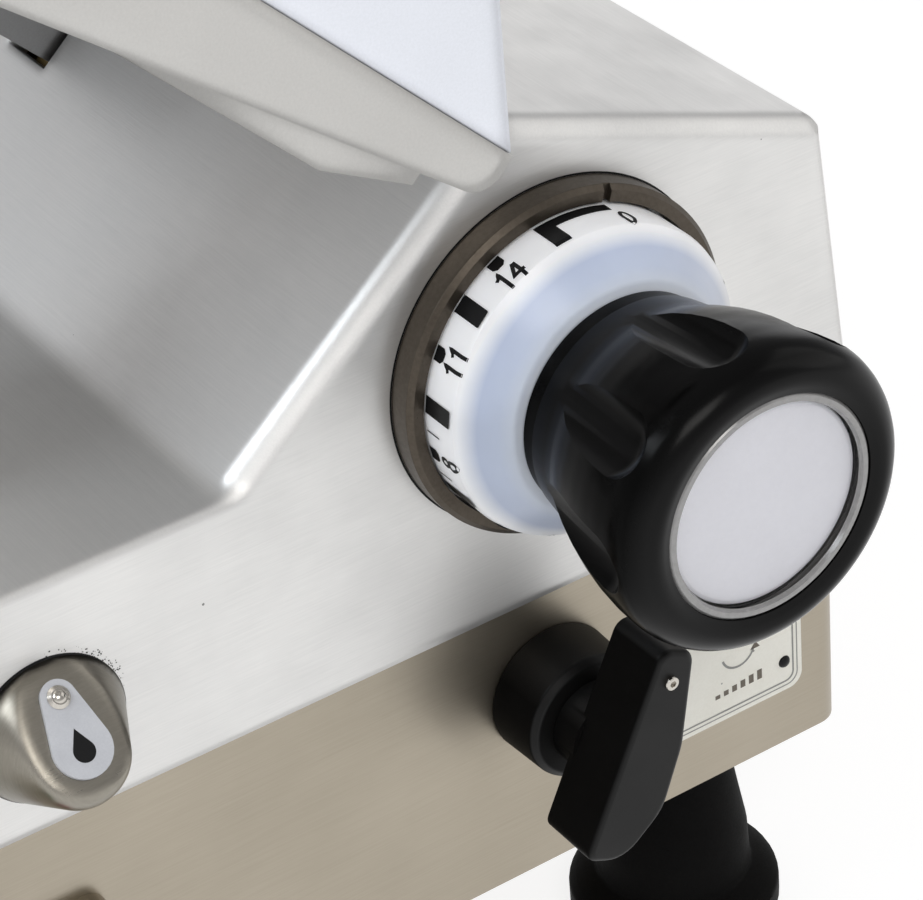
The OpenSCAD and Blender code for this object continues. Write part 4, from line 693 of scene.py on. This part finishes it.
def makeCopies():
    # copies of one object on points that carry a turn and a size
    tree = bpy.data.node_groups.new("copiesOnPoints", "GeometryNodeTree")
    tree.interface.new_socket("Geometry", in_out="INPUT", socket_type="NodeSocketGeometry")
    tree.interface.new_socket("Copy", in_out="INPUT", socket_type="NodeSocketObject")
    tree.interface.new_socket("Finish", in_out="INPUT", socket_type="NodeSocketMaterial")
    tree.interface.new_socket("Geometry", in_out="OUTPUT", socket_type="NodeSocketGeometry")
    start, end = tree.nodes.new("NodeGroupInput"), tree.nodes.new("NodeGroupOutput")
    copy = node(tree, "GeometryNodeObjectInfo", {"Object": start.outputs["Copy"]})
    turn, size = (node(tree, "GeometryNodeInputNamedAttribute", {"Name": name},
                       data_type="FLOAT_VECTOR").outputs[0] for name in ("turn", "size"))
    turned = node(tree, "FunctionNodeEulerToRotation", {0: turn}).outputs[0]
    placed = node(tree, "GeometryNodeInstanceOnPoints",
                  {"Points": start.outputs["Geometry"], "Instance": copy.outputs["Geometry"],
                   "Rotation": turned, "Scale": size})
    solid = node(tree, "GeometryNodeRealizeInstances", {"Geometry": placed.outputs[0]})
    dressed = node(tree, "GeometryNodeSetMaterial",
                   {"Geometry": solid.outputs[0], "Material": start.outputs["Finish"]})
    tree.links.new(dressed.outputs[0], end.inputs[0])
    return tree


copiesOnPoints = makeCopies()


def copiesMesh(name, template, spots, finish):
    # spots are (place in metres, direction of the copy's z, direction of its y, size in mm)
    points = bpy.data.meshes.new(name + "Spots")
    points.from_pydata([tuple(spot[0]) for spot in spots], [], [])
    turnOf = points.attributes.new("turn", "FLOAT_VECTOR", "POINT")
    sizeOf = points.attributes.new("size", "FLOAT_VECTOR", "POINT")
    for k, (place, way, up, size) in enumerate(spots):
        out, over = Vector(way), Vector(up)
        turnOf.data[k].vector = Matrix((over.cross(out), over, out)).transposed().to_euler()
        sizeOf.data[k].vector = Vector(size if isinstance(size, tuple) else (size, size, size)) * mm
    holder, sample = addObject(name + "Spots", points), addObject(name + "Sample", template)
    copies = holder.modifiers.new("copies", "NODES")
    copies.node_group = copiesOnPoints
    sockets = {item.name: item.identifier for item in copiesOnPoints.interface.items_tree
               if item.in_out == "INPUT"}
    copies[sockets["Copy"]] = sample
    copies[sockets["Finish"]] = paint[finish]
    bpy.context.view_layer.update()
    seen = bpy.context.evaluated_depsgraph_get()
    mesh = bpy.data.meshes.new_from_object(holder.evaluated_get(seen), depsgraph=seen)
    holder.modifiers.remove(copies)
    for made in (holder, sample):
        bpy.data.objects.remove(made)
    return mesh


# dial: numbers, blocks and lines wrapped round its band

def ringLine(*measures):
    points = oval(*measures, steps=24)
    return points + points[:1]


digitLines = {  # lines in a box one unit tall, thickened by strokeShape
    "0": [ringLine(0.275, 0.5, 0.20, 0.41)],
    "1": [[(0.11, 0.74), (0.25, 0.82), (0.34, 0.98), (0.34, 0.02)]],
    "2": [[(0.08, 0.72), (0.14, 0.87), (0.28, 0.92), (0.43, 0.85), (0.46, 0.68),
           (0.36, 0.48), (0.10, 0.08), (0.52, 0.08)]],
    "3": [[(0.08, 0.78), (0.18, 0.90), (0.32, 0.92), (0.44, 0.82), (0.43, 0.65),
           (0.30, 0.54), (0.44, 0.44), (0.48, 0.26), (0.38, 0.11), (0.22, 0.08), (0.08, 0.2)]],
    "4": [[(0.40, 0.02), (0.40, 0.90)], [(0.36, 0.90), (0.06, 0.32), (0.56, 0.32)]],
    "5": [[(0.48, 0.92), (0.15, 0.92), (0.11, 0.50), (0.28, 0.58), (0.43, 0.50),
           (0.47, 0.32), (0.41, 0.14), (0.26, 0.08), (0.09, 0.18)]],
    "8": [ringLine(0.275, 0.29, 0.20, 0.21), ringLine(0.275, 0.72, 0.17, 0.19)],
}
digitSet = {"pitch": 0.63, "middle": (0.275, 0.5), "steps": 16, "leastMitre": 0.5, "meet": 1e-6}


def strokeShape(word, tall, half):
    # lines are cut into short steps, to lie close on the round dial
    points, faces = [], []
    steps, (midX, midY) = digitSet["steps"], digitSet["middle"]
    for k, digit in enumerate(word):
        shift = digitSet["pitch"] * (k - (len(word) - 1) / 2) - midX
        for line in digitLines[digit]:
            line = [Vector((x + shift, y - midY)) * tall for x, y in line]
            pairs = zip(line, line[1:])
            line = [a.lerp(b, n / steps) for a, b in pairs for n in range(steps)] + [line[-1]]
            ways = [(b - a).normalized() for a, b in zip(line, line[1:])]
            closed = (line[0] - line[-1]).length < digitSet["meet"]
            before = [ways[-1] if closed else ways[0]] + ways
            after = ways + [ways[0] if closed else ways[-1]]
            for i, spot in enumerate(line):
                way = (before[i] + after[i]).normalized()
                reach = half / max(digitSet["leastMitre"], way.dot(after[i]))
                points += [(spot.x - way.y * reach, spot.y + way.x * reach),
                           (spot.x + way.y * reach, spot.y - way.x * reach)]
                if i:
                    n = len(points)
                    faces.append([n - 4, n - 3, n - 1, n - 2])
    return points, faces


dialMarks = {  # turns in degrees, depths out from the casting in millimetres
    "radius": 38.07,
    "foot": ((15.0, 38.0), (16.5, 37.6), (17.3, 36.6)),  # depth and radius of the edge
    "numbers": {"0": 70.5, "14": 118.8, "11": 152.6, "8": 190.5, "5": 248, "3": 300, "2": 335,
                "1": 18},
    "numberDepth": 13.85, "numberTall": 5.9, "numberHalf": 0.46,
    "chips": {  # width, height, depth, corner and turns
        "squares": (3.5, 3.3, 8.4, 0.25, (118.3, 153, 190.5, 248, 300, 335, 18)),
        "blocks": (4.3, 9.0, 11.3, 0.04, (135.3, 171.5, 208, 227, 274, 318, 356)),
        "lines": (0.35, 4.6, 9.4, 0.04, (181.5, 200, 218, 238, 262, 287, 309, 326, 345, 7)),
    },
    "chipLift": 0.03,
    "strips": ((72.5, 101.2, 7.0, 9.9), (94.9, 101.2, 9.8, 16.0)), "stripCells": (16, 12),
}


def onDial(degrees, depth, out=0.0):
    turn, reach = math.radians(degrees), dialMarks["radius"] + out
    foot = dialMarks["foot"]
    for (d0, r0), (d1, r1) in zip(foot, foot[1:]):  # the band's edge falls away
        if d0 < depth <= d1:
            reach += r0 + (r1 - r0) * (depth - d0) / (d1 - d0) - foot[0][1]
    return at(reach * math.cos(turn), -depth, reach * math.sin(turn))


def markDial(d):
    arc = math.degrees(1 / d["radius"])
    shapes = []
    for word, turn in d["numbers"].items():
        shape = strokeShape(word, d["numberTall"], d["numberHalf"])
        shapes.append(mapped(shape, lambda x, y: onDial(turn - x * arc, d["numberDepth"] - y)))
    for t0, t1, y0, y1 in d["strips"]:
        shapes.append(mapped(grid(t1, y1, t0, y0, *d["stripCells"]), onDial))
    addPiece("dial_numbers", joined("dial_numbers", shapes), "printInk", "knob")
    for name, (wide, tall, depth, corner, places) in d["chips"].items():
        inner = 0.5 - corner
        chip = [(-inner, -0.5, 0), (inner, -0.5, 0), (0.5, -inner, 0), (0.5, 0.5, 0),
                (-0.5, 0.5, 0), (-0.5, -inner, 0)]
        spots = []
        for turn in places:
            out = (math.cos(math.radians(turn)), 0, math.sin(math.radians(turn)))
            spots.append((onDial(turn, depth, d["chipLift"]), out, (0, 1, 0), (wide, tall, 1)))
        template = joined("chip", [flatShape(chip)])
        mesh = copiesMesh("dial_" + name, template, spots, "printInk")
        addPiece("dial_" + name, mesh, "printInk", "knob")


# painted shade: a dark line round the bezel's foot for the shadow in its gap, and the disc's face
# just under the lens

knobTrim = {
    "line": (42.5, 42.95), "lineOut": 0.04, "lineSteps": 120,
    "disc": [(23.7, 0), (23.7, 0.1), (22.9, 0.25), (22.4, 0.25)], "discOut": 75.74, "discSteps": 96,
}


def trimKnob(d):
    # painted shade: a dark ring for the shadow in the gap round the bezel's foot
    inner, outer = (circle(r, d["lineSteps"]) for r in d["line"])
    ring = mapped(band(outer, inner), lambda x, z: at(x, -d["lineOut"], z))
    addPiece("bezel_line", joined("bezel_line", [ring]), "printInk", "base")
    face = lathe(d["disc"], d["discSteps"])
    face = mapped(face, lambda x, z, out: at(x, -d["discOut"] - out, z))
    addPiece("disc_face", joined("disc_face", [face]), "discPaint", "knob")


markDial(dialMarks)
trimKnob(knobTrim)
print("dial marked")


# legend plate: border lines, a turning arrow, a scale of bars and rivets

legend = {
    "x": (24, 68), "z": (-127, -77), "y": 0.2, "lift": 0.03,
    "lines": ((1.3, 0.35), (2.5, 0.5)),  # inset and width of each
    "corner": 4, "cornerLoss": (0.6, 0.5),
    "arc": (48.4, -107.6, 4.9, 0.65, 195, 342), "arcSteps": 20,  # middle, radius, width and turns
    "arrow": [(52.1, -109.4), (55.1, -109.4), (53.75, -107.3)],
    "bars": (41.0, -119.6, 2.6, 1.5, 6), "barTall": (1.2, 0.35),  # start, step, width and count
    "rivets": ((29.5, -118), (62.5, -118), (29.5, -86), (62.5, -86)), "rivetRadius": 1.7,
    "dome": [(1, 0), (0.97, 0.12), (0.8, 0.34), (0.45, 0.5), (0.1, 0.55)],
}


def printLegend(d):
    (x0, x1), (z0, z1) = d["x"], d["z"]

    def onPlate(x, z):
        return at(x, d["y"] - d["lift"], z)

    def onArc(degrees, reach):
        turn = math.radians(degrees)
        return onPlate(cx + reach * math.cos(turn), cz + reach * math.sin(turn))

    lines = []
    insetLoss, wideLoss = d["cornerLoss"]
    for inset, wide in d["lines"]:
        corner, far = d["corner"] - inset * insetLoss, inset + wide
        outer = roundRect(x0 + inset, z0 + inset, x1 - inset, z1 - inset, corner)
        inner = roundRect(x0 + far, z0 + far, x1 - far, z1 - far, corner - wide * wideLoss)
        lines.append(mapped(band(outer, inner), onPlate))
    cx, cz, r, wide, first, last = d["arc"]
    lines.append(mapped(grid(last, r - wide / 2, first, r + wide / 2, cols=d["arcSteps"]), onArc))
    addPiece("legend_lines", joined("legend_lines", lines), "greyInk", "base")
    marks = [mapped(flatShape(d["arrow"]), onPlate)]
    bx, bz, step, wide, count = d["bars"]
    least, growth = d["barTall"]
    for k in range(count):
        x = bx + k * step
        marks.append(mapped(grid(x, bz, x + wide, bz + least + growth * k), onPlate))
    addPiece("legend_marks", joined("legend_marks", marks), "brownInk", "base")
    dome = smoothMesh(joined("dome", [lathe(d["dome"])]))
    spots = [(at(x, d["y"], z), (0, -1, 0), (0, 0, 1), d["rivetRadius"]) for x, z in d["rivets"]]
    rivets = smoothMesh(copiesMesh("legendRivets", dome, spots, "printInk"))
    addPiece("legend_rivets", rivets, "printInk", "base")


printLegend(legend)
print("legend printed")


# oil tag: a drop and the dome of its rivet, on a face that leans back by 45 degrees

oilTag = {
    "foot": (-133, -9, -31), "top": 1.4,  # foot of the leaning face, thickness of the tag
    "drop": 2.5, "dropArc": (150, 390), "dropSteps": 20, "dropTip": 5.25,
    "dropAt": -8.3, "dropLift": 0.03,
    "dome": [(1.8, 0), (1.746, 0.35), (1.44, 0.85), (0.81, 1.2), (0.15, 1.3)],
    "domeAt": 4.2, "domeLift": 0.2,
}


def onOilFacet(x, s, n):
    lean = math.sqrt(0.5)
    x0, y0, z0 = oilTag["foot"]
    return at(x0 + x, y0 + (s - n) * lean, z0 + (s + n) * lean)


def dressOilTag(d):
    r, steps, (first, last) = d["drop"], d["dropSteps"], d["dropArc"]
    around = [math.radians(first + (last - first) * k / steps) for k in range(steps + 1)]
    drop = [(r * math.cos(turn), r * math.sin(turn)) for turn in around] + [(0, d["dropTip"])]
    out = d["top"] + d["dropLift"]
    shape = mapped(flatShape(drop), lambda x, s: onOilFacet(x, d["dropAt"] + s, out))
    addPiece("oil_mark", joined("oil_mark", [shape]), "printInk", "oil_tag")
    foot = d["top"] + d["domeLift"]
    dome = mapped(lathe(d["dome"]), lambda x, s, n: onOilFacet(x, d["domeAt"] + s, foot + n))
    addPiece("oil_dome", smoothMesh(joined("oil_dome", [dome])), "turnedSteel", "base")


# dark line round the oil cap, widest above: painted shade in the gap, with dirt; and specks of dirt
# at its upper right

capShadeAndGrime = {
    "middle": (-133, -40), "radius": 18.0, "under": 0.05, "lineOut": 0.04, "speckOut": 0.05,
    "steps": 96,
    "wide": 0.75, "least": 0.12, "widest": 115,  # width, its least share and the turn of its widest
    "specks": 90, "seed": 7, "arc": (5, 95, 55), "away": (0.3, 1.7), "size": (0.07, 0.2),
    "speck": [(1, 0, 0), (0.3, 0.7, 0), (-0.6, 0.5, 0), (-0.9, -0.3, 0), (0.1, -0.8, 0)],
}


def shadeAndGrimeOilCap(d):
    cx, cz = d["middle"]
    rim, outline = circle(d["radius"] - d["under"], d["steps"]), []
    for turn in turns(d["steps"]):
        share = max(d["least"], math.cos(turn - math.radians(d["widest"])))
        reach = d["radius"] + d["wide"] * share
        outline.append((reach * math.cos(turn), reach * math.sin(turn)))
    # painted shade with dirt: the dark line in the gap round the cap, widest above
    ring = mapped(band(outline, rim), lambda x, z: at(cx + x, -d["lineOut"], cz + z))
    addPiece("cap_line", joined("cap_line", [ring]), "printInk", "base")
    speck = joined("speck", [flatShape(d["speck"])])
    spots, chance = [], random.Random(d["seed"])
    (nearest, further), (least, larger) = d["away"], d["size"]
    for _ in range(d["specks"]):
        turn, spin = math.radians(chance.triangular(*d["arc"])), chance.uniform(0, math.tau)
        reach = d["radius"] + nearest + further * chance.random() ** 2
        place = at(cx + reach * math.cos(turn), -d["speckOut"], cz + reach * math.sin(turn))
        size = least + larger * chance.random() ** 2
        spots.append((place, (0, -1, 0), (math.sin(spin), 0, math.cos(spin)), size))
    addPiece("cap_specks", copiesMesh("capSpecks", speck, spots, "printInk"), "printInk", "base")


dressOilTag(oilTag)
shadeAndGrimeOilCap(capShadeAndGrime)
print("oil tag dressed")


# screws: a low round head with a hexagon socket

screwHead = {
    "profile": [(1, 0), (1, 0.4), (0.93, 0.55), (0.75, 0.62)],  # in radii of the head
    "socket": 0.5, "socketHeights": (0.62, 0.15), "steps": 24, "turn": 17,
}
screws = {  # places from the dial in millimetres, direction and radius, by body
    "base": [(((-84, 487, 8), (71, 487, 8), (72, 487, 122), (31, 487, 168), (-84, 487, 46)),
              (0, 1, 0), 3.5),
             (((-206, -2, -92), (-132, -2, -92), (-206, -2, -118), (-132, -2, -118)),
              (0, -1, 0), 2.2)],
    "lever": [(((0.3, -39, -69.8),), (0, -1, 0), 1.75)],
}


def screwTemplate(s):
    half, hexagon = math.pi / 6, []
    for turn in turns(s["steps"]):
        reach = s["socket"] * math.cos(half) / math.cos(turn % (2 * half) - half)
        hexagon.append((reach * math.cos(turn), reach * math.sin(turn)))
    rows = [raised(circle(radius, s["steps"]), height) for radius, height in s["profile"]]
    rows += [raised(hexagon, height) for height in s["socketHeights"]]
    return joined("screw", [stacked(rows)])


def addScrews():
    for body, rows in screws.items():
        spots = []
        for places, way, size in rows:
            for place in places:
                turn = math.radians(screwHead["turn"] * len(spots))
                spots.append((at(*place), way, (math.sin(turn), 0, math.cos(turn)), size))
        mesh = copiesMesh(body + "Screws", screwTemplate(screwHead), spots, "turnedSteel")
        addPiece(body + "_screws", mesh, "turnedSteel", body)


addScrews()


# symbols on the push buttons

buttonMarks = {
    "start": -187, "stop": -151, "y": -8.05, "z": -105,
    "bar": (0.7, 3), "ring": (3.2, 2.2),
}


def markButtons(d):
    def onButton(shape, body):
        return mapped(shape, lambda x, z: at(d[body] + x, d["y"], d["z"] + z))

    wide, tall = d["bar"]
    bar = onButton(grid(-wide, -tall, wide, tall), "start")
    ring = onButton(band(*(circle(r) for r in d["ring"])), "stop")
    addPiece("start_mark", joined("start_mark", [bar]), "discPaint", "start")
    addPiece("stop_mark", joined("stop_mark", [ring]), "discPaint", "stop")


markButtons(buttonMarks)
print("screws and marks added")
